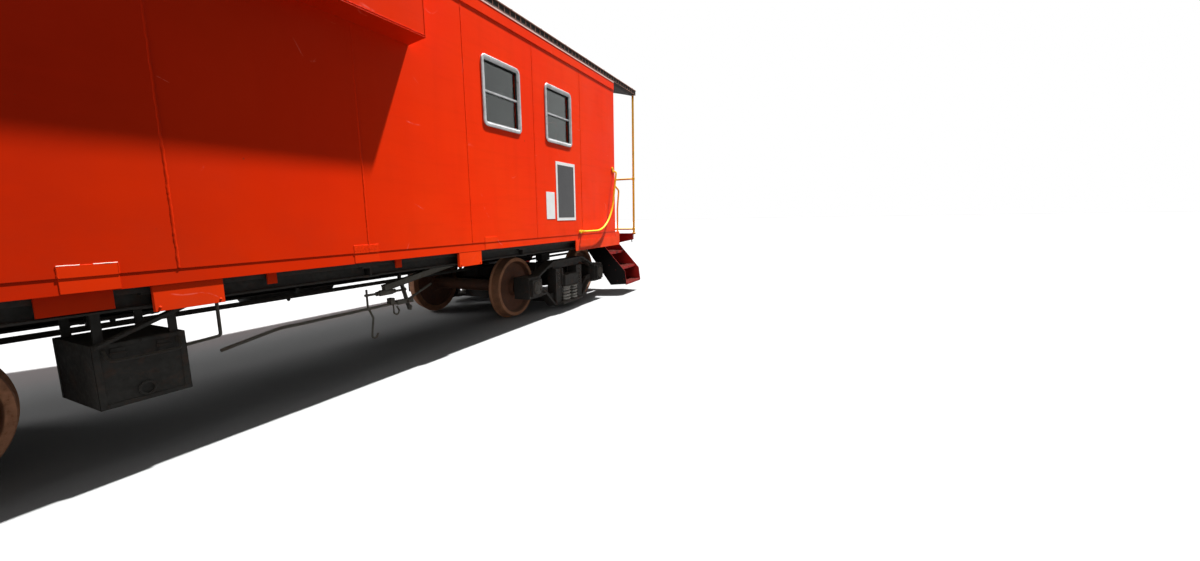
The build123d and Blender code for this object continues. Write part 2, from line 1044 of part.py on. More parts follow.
# Truck side frame outline, one half of it from the middle outwards
frame_low = spring_seat - seat_thickness
frame_half_outline = [
    (430, frame_low),
    (680, 280),
    (axle_offset - box_half, axle_height - box_half_height),
    (axle_offset + box_half - box_chamfer, axle_height - box_half_height),
    (axle_offset + box_half, axle_height - box_half_height + box_chamfer),
    (axle_offset + box_half, axle_height + 85),
    (axle_offset + box_half - 50, axle_height + box_half_height),
    (axle_offset - box_half + 40, axle_height + box_half_height),
    (460, 735),
]
frame_outline = frame_half_outline + [(-x, z) for x, z in reversed(frame_half_outline)]
box_web_x = axle_offset - box_half - frame_flange
frame_column = 405
column_lip = 12
side_window = [
    (frame_column, 250),
    (510, 250),
    (660, 370),
    (box_web_x, 390),
    (box_web_x, 520),
    (640, 640),
    (frame_column, 640),
]
centre_window_half = 250
centre_window_top = 610
column_gap = 8
column_face = truck_bolster_half + column_gap


def side_frame():
    """The -Y side frame of a truck centred on the origin, with its journal boxes"""
    outer_y = -frame_middle_y - frame_depth / 2
    with BuildPart() as frame:
        with BuildSketch(side_plane(outer_y + frame_depth)):
            with BuildLine():
                Polyline(*frame_outline, close=True)
            make_face()
            offset(amount=-frame_flange, kind=Kind.INTERSECTION, mode=Mode.SUBTRACT)
        extrude(amount=frame_depth)
        with BuildSketch(side_plane(-frame_middle_y + frame_web / 2)):
            with BuildLine():
                Polyline(*frame_outline, close=True)
            make_face()
        extrude(amount=frame_web)
        for way in (-1, 1):
            x = way * axle_offset
            block(
                x - box_half,
                x + box_half,
                -box_outer,
                -box_inner,
                axle_height - box_half_height,
                axle_height + box_half_height,
            )
            with Locations((x, -box_outer - lid_depth / 2, axle_height)):
                Box(2 * lid_half, lid_depth, 2 * lid_half)
            edge_columns = sorted((way * frame_column, way * centre_window_half))
            block(
                *edge_columns,
                outer_y,
                outer_y + frame_depth,
                frame_low,
                centre_window_top,
            )
            with BuildSketch(side_plane(0)):
                with BuildLine():
                    Polyline(*[(way * u, w) for u, w in side_window], close=True)
                make_face()
            extrude(amount=2 * box_outer, mode=Mode.SUBTRACT)
            with Locations((x, -box_inner, axle_height)):
                Cylinder(
                    journal_radius + journal_clearance,
                    journal_end + journal_clearance - box_inner,
                    rotation=(90, 0, 0),
                    align=standing,
                    mode=Mode.SUBTRACT,
                )
        block(
            -centre_window_half,
            centre_window_half,
            -box_outer,
            -box_inner,
            spring_seat,
            centre_window_top,
            mode=Mode.SUBTRACT,
        )
        block(
            -centre_window_half - seat_reach,
            centre_window_half + seat_reach,
            -spring_rows_y[1] - spring_radius,
            -spring_rows_y[0] + spring_radius,
            frame_low,
            spring_seat,
        )
        for way in (-1, 1):
            faces = sorted((way * column_face, way * centre_window_half))
            block(
                *faces,
                outer_y - column_lip,
                outer_y + frame_depth,
                spring_seat + spring_height + column_lip,
                centre_window_top,
            )
    return frame.part


right_frame = side_frame()
truck_frames = both_sides(right_frame)

# Truck bolster with its centre bowl and side bearings
spring_top = spring_seat + spring_height
with BuildPart() as truck_bolster:
    with BuildSketch(Plane.YZ.offset(-truck_bolster_half)):
        with BuildLine():
            Polyline(
                (-truck_bolster_end, truck_bolster_end_top),
                (-bolster_shoulder - bolster_slope, truck_bolster_end_top),
                (-bolster_shoulder, truck_bolster_top),
                (bolster_shoulder, truck_bolster_top),
                (bolster_shoulder + bolster_slope, truck_bolster_end_top),
                (truck_bolster_end, truck_bolster_end_top),
                (truck_bolster_end, spring_top),
                (bolster_belly + 2 * bolster_slope, spring_top),
                (bolster_belly, bolster_belly_low),
                (-bolster_belly, bolster_belly_low),
                (-bolster_belly - 2 * bolster_slope, spring_top),
                (-truck_bolster_end, spring_top),
                close=True,
            )
        make_face()
    extrude(amount=2 * truck_bolster_half)
    with Locations((0, 0, truck_bolster_top)):
        Cylinder(
            centre_plate_radius + bowl_clearance + bowl_wall,
            bowl_depth + centre_plate_low - bowl_clearance - truck_bolster_top,
            align=standing,
        )
    with Locations((0, 0, centre_plate_low - bowl_clearance)):
        Cylinder(
            centre_plate_radius + bowl_clearance,
            bowl_depth,
            align=standing,
            mode=Mode.SUBTRACT,
        )
    for side in (-1, 1):
        with Locations((0, side * side_bearing_y, truck_bolster_top)):
            Box(
                2 * side_bearing_half,
                side_bearing_width,
                side_bearing_low - side_bearing_gap - truck_bolster_top,
                align=standing,
            )

# Spring plank between the side frames, a channel low across the truck
with BuildPart() as spring_plank:
    plank_end = spring_rows_y[0] - spring_radius
    block(-plank_half, plank_half, -plank_end, plank_end, frame_low, spring_seat)
    for way in (-1, 1):
        faces = sorted((way * plank_half, way * (plank_half - plank_flange)))
        block(
            *faces,
            plank_flange_inset - plank_end,
            plank_end - plank_flange_inset,
            spring_seat,
            spring_seat + plank_flange_height,
        )


# Coil springs, each a bar wound up from the spring seat
def coil(x, y):
    """One coil spring, lofted through a section at each step of its turns"""
    steps = round(spring_turns * coil_steps)
    radius = spring_radius - spring_wire
    rise = spring_height - 2 * spring_wire
    with BuildPart() as spring:
        for step in range(steps + 1):
            turn = 2 * pi * step / coil_steps
            place = (
                x + radius * cos(turn),
                y + radius * sin(turn),
                spring_seat + spring_wire + rise * step / steps,
            )
            outward = (cos(turn), sin(turn), 0)
            along = (-sin(turn), cos(turn), 0)
            with BuildSketch(Plane(origin=place, x_dir=outward, z_dir=along)):
                RegularPolygon(spring_wire, coil_sides)
        loft(ruled=True)
    return spring.part


with BuildPart() as spring_nest:
    for side in (-1, 1):
        for way in (-1, 1):
            add(coil(way * spring_pitch_x / 2, side * spring_rows_y[1]))

# Brake beams with a shoe at each wheel tread
shoe_inner = wheel_radius + shoe_gap
shoe_y = (
    back_to_back / 2 + flange_width + shoe_inset,
    back_to_back / 2 + rim_width - shoe_inset,
)
wedge_x = axle_offset - 2 * shoe_inner * cos(radians(shoe_half_angle))
wedge_z = 2 * shoe_inner * sin(radians(shoe_half_angle))
with BuildPart() as brake_beam:
    for side in (-1, 1):
        y0, y1 = sorted((side * shoe_y[0], side * shoe_y[1]))
        with BuildSketch(side_plane(y1)):
            with Locations((axle_offset, axle_height)):
                Circle(shoe_inner + shoe_thickness)
                Circle(shoe_inner, mode=Mode.SUBTRACT)
            with BuildLine():
                Polyline(
                    (axle_offset, axle_height),
                    (wedge_x, axle_height - wedge_z),
                    (wedge_x, axle_height + wedge_z),
                    close=True,
                )
            make_face(mode=Mode.INTERSECT)
        extrude(amount=y1 - y0)
        block(
            axle_offset - shoe_inner - shoe_thickness - shoe_holder,
            axle_offset - shoe_inner - shoe_thickness + beam_overlap,
            y0,
            y1,
            axle_height - holder_half,
            axle_height + holder_half,
        )
    beam_x = axle_offset - shoe_inner - shoe_thickness - shoe_holder
    block(
        beam_x,
        beam_x + beam_plate,
        -shoe_y[1],
        shoe_y[1],
        axle_height - beam_half,
        axle_height + beam_half,
    )
    block(
        beam_x - shoe_holder,
        beam_x,
        -shoe_y[1],
        shoe_y[1],
        axle_height - beam_plate / 2,
        axle_height + beam_plate / 2,
    )
    for side in (-1, 1):
        hanger_y = side * (shoe_y[1] - hanger_end)
        y0, y1 = sorted((hanger_y, side * (frame_middle_y - frame_depth / 2)))
        block(beam_x - hanger_end, beam_x - hanger_end + hanger_width, y0, y1, hanger_low, hanger_high)
        y2, y3 = sorted((hanger_y, hanger_y + side * hanger_bar))
        block(
            beam_x - hanger_end,
            beam_x - hanger_end + hanger_width,
            y2,
            y3,
            axle_height - beam_half,
            hanger_high,
        )

with BuildPart() as brake_beams:
    add(brake_beam.part)
    mirror(about=Plane.YZ)

truck_pieces = [
    (truck_frames, "side_frames"),
    (truck_bolster.part, "bolster"),
    (spring_plank.part, "spring_plank"),
    (spring_nest.part, "springs"),
    (brake_beams.part, "brake_beams"),
]
for truck_name, place in (("front", truck_x), ("rear", -truck_x)):
    for piece, piece_name in truck_pieces:
        with BuildPart() as placed:
            with Locations((place, 0, 0)):
                add(piece)
        finish(placed.part, f"truck_{truck_name}_{piece_name}")

# Coupler with a rounded butt about its pivot, a shank and a head with a guard arm, and
# the knuckle as a piece of its own. Points are given from the pulling face
head_low = coupler_height - head_height / 2
head_outline = [
    (-260, -shank_half),
    (-205, -165),
    (-85, -175),
    (-85, -150),
    (-160, -60),
    (-165, 60),
    (-70, 95),
    (5, 150),
    (5, 215),
    (-30, 220),
    (-110, 150),
    (-205, 110),
    (-260, shank_half),
]
knuckle_outline = [
    (-115, -152),
    (-30, -112),
    (0, -52),
    (0, 20),
    (-20, 42),
    (-62, 42),
    (-75, 10),
    (-85, -32),
]
with BuildPart() as coupler:
    block(
        coupler_pivot,
        pulling_face - head_back,
        -shank_half,
        shank_half,
        coupler_height - shank_height / 2,
        coupler_height + shank_height / 2,
    )
    with Locations((coupler_pivot, 0, coupler_height)):
        Cylinder(shank_half, shank_height)
    with BuildSketch(Plane.XY.offset(head_low)):
        with BuildLine():
            Polyline(*[(pulling_face + x, y) for x, y in head_outline], close=True)
        make_face()
    extrude(amount=head_height)
    with Locations((knuckle_pin_x, knuckle_pin_y, coupler_height)):
        Cylinder(
            knuckle_radius + knuckle_clearance,
            knuckle_height + 2 * knuckle_clearance,
            mode=Mode.SUBTRACT,
        )
finish(coupler.part, "coupler_front")
finish(turned_round(coupler.part), "coupler_rear")

with BuildPart() as knuckle:
    with BuildSketch(Plane.XY.offset(coupler_height - knuckle_height / 2)):
        with Locations((knuckle_pin_x, knuckle_pin_y)):
            Circle(knuckle_radius)
        with BuildLine():
            Polyline(*[(pulling_face + x, y) for x, y in knuckle_outline], close=True)
        make_face()
    extrude(amount=knuckle_height)
finish(knuckle.part, "knuckle_front")
finish(turned_round(knuckle.part), "knuckle_rear")

# Hand brake on the rear railing: a housing on two brackets, and its wheel
brake_housing_x = -(rail_x - rail_radius)
bracket_depth = 40
housing_depth = 110
wheel_standoff = 40
with BuildPart() as brake_housing:
    with Locations((brake_housing_x + 0.8 * housing_depth, brake_y, brake_z)):
        Box(housing_depth, housing_width, housing_height)
    for side in (-1, 1):
        y = brake_y + side * bracket_y
        block(
            brake_housing_x,
            brake_housing_x + bracket_depth,
            y - bracket_depth / 2,
            y + bracket_depth / 2,
            low_rail,
            top_rail,
        )
finish(brake_housing.part, "hand_brake_housing")

wheel_plane_x = brake_housing_x + 1.3 * housing_depth + wheel_standoff
with BuildPart() as brake_wheel:
    with BuildSketch(Plane(origin=(wheel_plane_x, brake_y, brake_z), x_dir=(0, 0, 1), z_dir=(0, 1, 0))):
        with Locations((brake_wheel_radius, 0)):
            RegularPolygon(brake_rim_radius, rod_sides)
    revolve(axis=Axis((wheel_plane_x, brake_y, brake_z), (1, 0, 0)))
    with Locations((wheel_plane_x - wheel_standoff + hub_gap, brake_y, brake_z)):
        Cylinder(brake_hub_radius, brake_hub_length, rotation=(0, 90, 0), align=standing)
    for spoke in range(brake_spokes):
        turn = 2 * pi * spoke / brake_spokes
        tip_y = brake_y + brake_wheel_radius * sin(turn)
        tip_z = brake_z + brake_wheel_radius * cos(turn)
        spoke_ends = [(wheel_plane_x, brake_y, brake_z), (wheel_plane_x, tip_y, tip_z)]
        add(rod(spoke_ends, brake_spoke_radius, 0, 4))
finish(brake_wheel.part, "hand_brake_wheel")

# Equipment box under the floor, with its hangers, a sloping brace and a step bar
box_x0 = 1594 - truck_x
box_x1 = box_x0 + 400
box_outer_y = -1210
box_inner_y = -700
box_low = 370
box_top = 730
brace_x = box_x1 + 310
brace_bar = 15
brace_width = 50
step_bar = 60
step_radius = 10
step_inset = 40
step_drop = 30
strap_inset = 20
strap_width = 40
strap_plate = 12
with BuildPart() as equipment_box:
    block(box_x0, box_x1, box_outer_y, box_inner_y, box_low, box_top)
    for x in (box_x0 + strap_inset, box_x1 - strap_inset - strap_width):
        for y in (box_outer_y + strap_inset, box_inner_y - strap_inset - strap_width):
            block(x, x + strap_width, y, y + strap_plate, box_top, floor_bottom)
    with BuildSketch(side_plane(box_outer_y)):
        with BuildLine():
            Polyline(
                (box_x0, box_top - brace_bar),
                (box_x0, box_top),
                (brace_x - strap_width, floor_bottom),
                (brace_x, floor_bottom),
                (brace_x, floor_bottom - brace_bar),
                close=True,
            )
        make_face()
    extrude(amount=brace_width)
    add(
        rod(
            [
                (box_x0 + step_inset, box_outer_y, box_top - step_drop),
                (box_x0 + step_inset, box_outer_y - step_bar, box_top - 3 * step_drop),
                (box_x1 - step_inset, box_outer_y - step_bar, box_top - 3 * step_drop),
                (box_x1 - step_inset, box_outer_y, box_top - step_drop),
            ],
            step_radius,
            step_drop,
            4,
        )
    )
finish(equipment_box.part, "equipment_box")

# Air brake reservoir and cylinder, hung on straps from the floor
with BuildPart() as brake_equipment:
    for x, y, z, radius, length in air_tanks:
        with Locations((x, y, z)):
            Cylinder(radius, length, rotation=(0, 90, 0))
        for way in (-1, 1):
            strap = x + way * length * tank_strap_place
            block(
                strap - tank_strap_half,
                strap + tank_strap_half,
                y - tank_strap_half,
                y + tank_strap_half,
                z + radius - plate_thickness,
                floor_bottom,
            )
finish(brake_equipment.part, "brake_equipment")

# Train pipe beside the centre sill, with an angle cock and its nipple at each end
cock_x = sill_end + cock_reach
with BuildPart() as train_pipe:
    add(rod([(-cock_x, pipe_y, pipe_z), (cock_x, pipe_y, pipe_z)], pipe_radius, 0))
    for end in (-1, 1):
        with Locations((end * cock_x, pipe_y, pipe_z)):
            Box(2 * cock_half, cock_width, cock_width)
        with Locations((end * (cock_x + cock_half + nipple_length / 2), pipe_y, pipe_z)):
            Cylinder(nipple_radius, nipple_length, rotation=(0, 90, 0))
        with Locations((end * (sill_end - pipe_bracket / 2), pipe_y, pipe_z)):
            Box(pipe_bracket, cock_width, end_sill_deep - pipe_z, align=standing)
    for place, depth in crossbearers:
        with Locations((place, pipe_y, pipe_z)):
            Box(
                pipe_hanger,
                pipe_hanger,
                cross_top - depth + sill_flange + 2 * seat_gap - pipe_z,
                align=standing,
            )
finish(train_pipe.part, "train_pipe")

# Smoke jack through the front roof, over the flue
with BuildPart() as smoke_jack:
    with Locations((stove_x, stove_y, flue_top)):
        Cylinder(jack_base_radius, jack_neck - flue_top, align=standing)
        Cylinder(jack_pipe_radius, jack_cap_low - flue_top, align=standing)
    with Locations((stove_x, stove_y, jack_cap_low)):
        Cone(jack_cap_radius, jack_pipe_radius, jack_top - jack_cap_low, align=standing)
finish(smoke_jack.part, "smoke_jack")

# Lockers under the cupola seats
with BuildPart() as locker:
    low = cupola_rear + cupola_wall + locker_gap
    high = cupola_front - cupola_wall - locker_gap
    block(low, high, -inner_half, -locker_inner, floor_top, locker_top)
finish(both_sides(locker.part), "cupola_lockers")

# Cupola seats on pedestals, two on each side, back to back across the cupola
cupola_middle = (cupola_front + cupola_rear) / 2
with BuildPart() as seats:
    for way in (-1, 1):
        x = cupola_middle + way * seat_spread
        with Locations((x, -seat_y, locker_top)):
            Box(seat_pedestal, seat_pedestal, seat_pan - locker_top, align=standing)
        with Locations((x, -seat_y, seat_pan)):
            Box(seat_size, seat_size, seat_cushion, align=standing)
        back_x = x + way * (seat_size - seat_back) / 2
        with Locations((back_x, -seat_y, seat_pan + seat_cushion)):
            Box(seat_back, seat_size, seat_back_height, align=standing)
    mirror(about=Plane.XZ)
finish(seats.part, "cupola_seats")

# Bunk along one side, with its mattress
with BuildPart() as bunk:
    block(bunk_x0, bunk_x1, inner_half - bunk_depth, inner_half, floor_top, bunk_height)
finish(bunk.part, "bunk")

# Desk on the other side, on a cabinet and a panel leg
with BuildPart() as desk:
    desk_y = desk_depth - inner_half
    block(desk_x0, desk_x1, -inner_half, desk_y, desk_height - desk_plate, desk_height)
    for x0, x1 in ((desk_x0, desk_x0 + cabinet_width), (desk_x1 - desk_plate, desk_x1)):
        block(x0, x1, -inner_half, desk_y - desk_plate, floor_top, desk_height - desk_plate)
finish(desk.part, "desk")

# Stove on four legs, with its flue up to the roof
with BuildPart() as stove:
    with Locations((stove_x, stove_y, floor_top + stove_leg)):
        Cylinder(stove_radius, stove_height, align=standing)
        Cylinder(flue_radius, flue_top - floor_top - stove_leg, align=standing)
    with GridLocations(stove_leg_pitch, stove_leg_pitch, 2, 2):
        with Locations((stove_x, stove_y, floor_top)):
            Box(stove_leg_width, stove_leg_width, stove_leg + seat_gap, align=standing)
finish(stove.part, "stove")
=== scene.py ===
import json
import math
import random

import bmesh
import bpy
from mathutils import Matrix, Vector


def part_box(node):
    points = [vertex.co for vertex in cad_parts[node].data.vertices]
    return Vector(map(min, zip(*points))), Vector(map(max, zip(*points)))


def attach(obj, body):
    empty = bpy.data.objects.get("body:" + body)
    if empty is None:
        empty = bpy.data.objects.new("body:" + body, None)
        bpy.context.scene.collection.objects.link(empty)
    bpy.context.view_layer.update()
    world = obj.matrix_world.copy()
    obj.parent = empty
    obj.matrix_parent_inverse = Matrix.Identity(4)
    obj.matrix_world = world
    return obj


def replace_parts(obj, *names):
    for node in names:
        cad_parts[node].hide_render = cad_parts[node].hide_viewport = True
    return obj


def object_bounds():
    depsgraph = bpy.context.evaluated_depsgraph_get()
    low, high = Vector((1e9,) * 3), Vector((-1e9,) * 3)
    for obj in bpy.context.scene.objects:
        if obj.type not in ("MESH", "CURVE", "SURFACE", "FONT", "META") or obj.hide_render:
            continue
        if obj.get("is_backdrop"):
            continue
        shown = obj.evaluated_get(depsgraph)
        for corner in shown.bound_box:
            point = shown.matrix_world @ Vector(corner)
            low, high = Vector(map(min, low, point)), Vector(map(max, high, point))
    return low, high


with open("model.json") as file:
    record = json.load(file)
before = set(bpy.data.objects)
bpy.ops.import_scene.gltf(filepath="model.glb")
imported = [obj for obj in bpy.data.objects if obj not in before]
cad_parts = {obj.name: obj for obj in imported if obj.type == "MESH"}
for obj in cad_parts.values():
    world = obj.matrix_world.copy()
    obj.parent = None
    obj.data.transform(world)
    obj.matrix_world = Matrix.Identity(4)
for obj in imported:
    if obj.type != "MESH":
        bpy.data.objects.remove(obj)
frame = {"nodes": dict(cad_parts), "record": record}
cad_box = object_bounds()
scene = bpy.context.scene
UP = Vector((0, 0, 1))

# Places in metres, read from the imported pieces, or written as in the solids
RAIL = 0.0254
LETTERBOARD_PROUD = 0.008
STRIP_BACK = 0.003
wall_low, wall_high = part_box("side_wall_right")
HALF_LENGTH = wall_high.x
HALF_WIDTH = -wall_low.y - LETTERBOARD_PROUD
INNER_HALF = -wall_high.y
WALL = HALF_WIDTH - INNER_HALF
SILL_LOW = wall_low.z
EAVE = wall_high.z
FLOOR_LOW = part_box("floor")[0].z
CUPOLA_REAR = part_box("cupola_ends")[0].x
CUPOLA_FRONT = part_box("cupola_ends")[1].x
CUPOLA_MIDDLE = (CUPOLA_FRONT + CUPOLA_REAR) / 2
CUPOLA_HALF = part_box("cupola_sides")[1].y
CUPOLA_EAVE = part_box("cupola_sides")[1].z
CUPOLA_WALL = 0.060
BAY_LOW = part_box("cupola_sides")[0].z
ROOF_END, ROOF_HALF, ROOF_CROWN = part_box("roof")[1]
ROOF_EDGE = 0.085
SILL_END, DECK_HALF, DECK_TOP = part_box("platform_front")[1]
WALL_RUNS = ((-HALF_LENGTH, CUPOLA_REAR), (CUPOLA_FRONT, HALF_LENGTH))
ROOF_RUNS = ((-ROOF_END, CUPOLA_REAR), (CUPOLA_FRONT, ROOF_END))
TRUCKS = (3.452, -3.452)
WHEELBASE = 1.981
AXLES = [middle + way * WHEELBASE / 2 for middle in TRUCKS for way in (1, -1)]
AXLE_HEIGHT = RAIL + 0.4191


def up(height):
    """Model height of a point above the rail head"""
    return RAIL + height


def from_front(distance):
    """Place along the car of a point behind the front wall"""
    return HALF_LENGTH - distance


# Camera, solved from the photograph
CAMERA_PLACE = (-2.8272, -4.6782, 1.3813)
CAMERA_YAW = math.radians(25.756)
CAMERA_PITCH = math.radians(7.7225)
CAMERA_ROLL = math.radians(-1.0954)
CAMERA_LENS = 13.852


def make_camera():
    """A wide view along the car's right side, a little downwards"""
    ahead = Vector((math.cos(CAMERA_YAW), math.sin(CAMERA_YAW), 0))
    side = Vector((math.sin(CAMERA_YAW), -math.cos(CAMERA_YAW), 0))
    forward = math.cos(CAMERA_PITCH) * ahead - math.sin(CAMERA_PITCH) * UP
    upward = math.cos(CAMERA_PITCH) * UP + math.sin(CAMERA_PITCH) * ahead
    right = math.cos(CAMERA_ROLL) * side + math.sin(CAMERA_ROLL) * upward
    top = math.cos(CAMERA_ROLL) * upward - math.sin(CAMERA_ROLL) * side
    lens = bpy.data.cameras.new("camera")
    lens.lens = CAMERA_LENS
    lens.sensor_width = 36
    lens.sensor_fit = "HORIZONTAL"
    lens.clip_start = 0.05
    lens.clip_end = 300
    camera = bpy.data.objects.new("camera", lens)
    turn = Matrix((right, top, -forward)).transposed()
    camera.matrix_world = Matrix.Translation(CAMERA_PLACE) @ turn.to_4x4()
    scene.collection.objects.link(camera)
    scene.camera = camera


make_camera()


# Material graphs
def scaled(colour, share):
    """A colour made darker or lighter"""
    return [c * share for c in colour]


class Finish:
    """A node material, built up from a few kinds of step"""

    def __init__(self, name, **settings):
        self.material = bpy.data.materials.new(name)
        self.material.use_nodes = True
        self.nodes = self.material.node_tree.nodes
        self.links = self.material.node_tree.links
        self.shader = self.nodes["Principled BSDF"]
        self.place = self.step("TexCoord", {}, "Object")
        split = self.nodes.new("ShaderNodeSeparateXYZ")
        self.links.new(self.place, split.inputs[0])
        self.x, self.y, self.z = split.outputs
        self.facing = self.step("NewGeometry", {}, "Normal")
        for socket, value in settings.items():
            self.shader.inputs[socket.replace("_", " ")].default_value = value

    def step(self, kind, inputs, output=0, **settings):
        """A node of a kind, its inputs set or linked"""
        node = self.nodes.new("ShaderNode" + kind)
        for key, value in settings.items():
            setattr(node, key, value)
        for key, value in inputs.items():
            if isinstance(value, bpy.types.NodeSocket):
                self.links.new(value, node.inputs[key])
            else:
                node.inputs[key].default_value = value
        return node.outputs[output]

    def noise(self, scale, detail=4.0, rough=0.55, stretch=None):
        """Cloudy noise over the part's own coordinates"""
        place = self.place
        if stretch:
            place = self.step("Mapping", {"Vector": place, "Scale": stretch})
        inputs = {"Vector": place, "Scale": scale, "Detail": detail, "Roughness": rough}
        return self.step("TexNoise", inputs)

    def span(self, value, low, high, out_low=0.0, out_high=1.0):
        """A value mapped from one range to another, and held inside it"""
        ends = {"From Min": low, "From Max": high, "To Min": out_low, "To Max": out_high}
        return self.step("MapRange", {"Value": value, **ends})

    def sum(self, operation, first, second=0.0):
        """A sum of one or two values"""
        return self.step("Math", {0: first, 1: second}, operation=operation)

    def times(self, first, *others):
        """The product of values"""
        for other in others:
            first = self.sum("MULTIPLY", first, other)
        return first

    def either(self, first, *others):
        """The greatest of values"""
        for other in others:
            first = self.sum("MAXIMUM", first, other)
        return first

    def size_of(self, value):
        """A value without its sign"""
        return self.sum("ABSOLUTE", value)

    def mix(self, share, under, over):
        """A share of one colour over another"""
        inputs = {0: share}
        for index, colour in ((6, under), (7, over)):
            linked = isinstance(colour, bpy.types.NodeSocket)
            inputs[index] = colour if linked else (*colour, 1)
        return self.step("Mix", inputs, 2, data_type="RGBA")

    def upward(self, low=0.2, high=0.9):
        """How far a surface faces up"""
        return self.span(self.step("SeparateXYZ", {0: self.facing}, 2), low, high)

    def edges(self, radius):
        """Where an edge or a corner is near, and the eased normal there"""
        eased = self.step("Bevel", {"Radius": radius}, samples=2)
        inputs = {0: eased, 1: self.facing}
        match = self.step("VectorMath", inputs, 1, operation="DOT_PRODUCT")
        return self.span(match, 0.98, 0.75), eased

    def relief(self, height, depth, strength=1.0, normal=None):
        """A bump on the surface, over another one where that is given"""
        inputs = {"Height": height, "Distance": depth, "Strength": strength}
        if normal:
            inputs["Normal"] = normal
        return self.step("Bump", inputs)

    def set(self, **sockets):
        """Links values to the shader's sockets, and returns the material"""
        for socket, value in sockets.items():
            self.links.new(value, self.shader.inputs[socket.replace("_", " ")])
        return self.material


def painted(
    name,
    colours,
    rough=0.42,
    dirt_top=1.5,
    chips=1.0,
    edge=0.004,
    wear=1.0,
    shine=0.12,
    aged=0.0,
    trodden=0.0,
):
    """Old enamel on steel: faded patches, rain streaks, road grime low down, chips, worn edges, and
    painted shade towards the rear and on the tops of treads
    """
    base, faded, dirt_and_tread_shade, bare = colours
    f = Finish(name, Metallic=0.0, Specular_IOR_Level=shine)
    cloud = f.noise(3.1, 6, 0.65)
    fine = f.noise(38, 5, 0.7)
    colour = f.mix(f.span(f.noise(0.55, 3, 0.6), 0.35, 0.68), base, faded)
    # Painted shade: the colour darkens towards the rear, its edges softened by cloudy noise
    if aged:
        rearward_shade = f.times(f.span(f.x, 0.9, -2.0), f.span(cloud, 0.2, 0.8, 0.85, 1.0), aged)
        colour = f.mix(rearward_shade, colour, scaled(base, 0.42))
    streak = f.noise(2.4, 5, 0.6, stretch=(3.0, 3.0, 0.22))
    colour = f.mix(f.times(f.span(streak, 0.48, 0.85), 0.16), colour, scaled(base, 0.6))
    level = f.noise(3.0, 5, 0.65, stretch=(0.5, 0.5, 5.0))
    colour = f.mix(f.times(f.span(level, 0.5, 0.8), 0.22), colour, scaled(base, 0.7))
    dirty = f.times(f.span(f.z, dirt_top, 0.95), f.span(cloud, 0.42, 0.8), 0.22)
    colour = f.mix(dirty, colour, dirt_and_tread_shade)
    worn, eased = f.edges(edge)
    chipped = f.times(worn, f.span(fine, 0.52, 0.60), wear)
    spots = f.times(f.span(f.noise(21, 4, 0.6), 0.735, 0.75), f.span(cloud, 0.45, 0.6), chips)
    bared = f.either(chipped, spots)
    gloss = f.span(cloud, 0.3, 0.75, rough - 0.07, rough + 0.12)
    gloss = f.either(gloss, f.times(bared, 0.85), f.times(dirty, 0.8))
    # Painted shade as well as tread dirt: faces that look up take the dirty colour
    if trodden:
        tread = f.upward(0.5, 0.95)
        colour = f.mix(f.times(tread, trodden), colour, dirt_and_tread_shade)
        gloss = f.either(gloss, f.times(tread, 0.95))
    contour = f.span(f.size_of(f.sum("SUBTRACT", f.noise(1.7, 1, 0.4), 0.5)), 0.0050, 0.0015)
    scratch = f.times(contour, f.span(f.noise(2.9, 3), 0.58, 0.62), f.span(fine, 0.42, 0.5), chips)
    colour = f.mix(f.times(scratch, 0.24), colour, [min(1, c + 0.22) for c in faded])
    colour = f.mix(bared, colour, bare)
    height = f.sum("SUBTRACT", f.times(f.noise(140, 3), 0.15), f.times(bared, 0.6))
    height = f.sum("ADD", height, f.times(fine, 0.25))
    skin = f.relief(height, 0.0006, 0.6, eased)
    skin = f.relief(f.noise(1.9, 2, 0.4), 0.012, 0.34, skin)
    return f, colour, gloss, skin


def enamel(name, colours, **settings):
    """A material of enamel long in service, all over"""
    f, colour, gloss, skin = painted(name, colours, **settings)
    return f.set(Base_Color=colour, Roughness=gloss, Normal=skin)


# Paints as fresh, faded, dirty and bare colours; the dirty colour also paints shade on the tops of
# treads and decks
BODY_RED = (
    (0.93, 0.030, 0.0005),
    (0.95, 0.042, 0.0015),
    (0.30, 0.040, 0.012),
    (0.14, 0.035, 0.016),
)
PLATE_RED = ((0.94, 0.036, 0.001), (0.95, 0.055, 0.004), (0.20, 0.055, 0.025), (0.12, 0.045, 0.022))
MAROON = (
    (0.250, 0.009, 0.008),
    (0.310, 0.016, 0.013),
    (0.058, 0.013, 0.010),
    (0.080, 0.034, 0.022),
)
AMBER = ((0.93, 0.49, 0.015), (0.95, 0.56, 0.030), (0.24, 0.12, 0.035), (0.20, 0.085, 0.030))
LINING = ((0.40, 0.44, 0.36), (0.46, 0.49, 0.41), (0.16, 0.14, 0.10), (0.12, 0.10, 0.08))
LINING_STAIN = (0.22, 0.20, 0.14)
BLACK_STRINGER = (0.012, 0.011, 0.011)

# Rough steel and rubber as base, dust and rust colours; on the frame and truck castings the pale
# top colour is also a painted highlight
TAR = ((0.012, 0.011, 0.010), (0.042, 0.036, 0.030), (0.060, 0.028, 0.018))
FRAME_BLACK = ((0.022, 0.021, 0.019), (0.100, 0.086, 0.068), (0.070, 0.034, 0.020))
TRUCK_BLACK = ((0.022, 0.020, 0.018), (0.100, 0.080, 0.062), (0.085, 0.038, 0.022))
# Grey that lightens the black coils of the springs: painted highlight
SPRING_HIGHLIGHT_GREY = ((0.30, 0.29, 0.27), (0.26, 0.21, 0.16), (0.16, 0.085, 0.050))
STOVE_BLACK = ((0.022, 0.022, 0.022), (0.10, 0.09, 0.08), (0.16, 0.060, 0.028))
# Pale grey that lightens the rods under the floor: painted highlight
ROD_HIGHLIGHT_COLOURS = ((0.150, 0.140, 0.120), (0.30, 0.26, 0.20), (0.16, 0.085, 0.050))
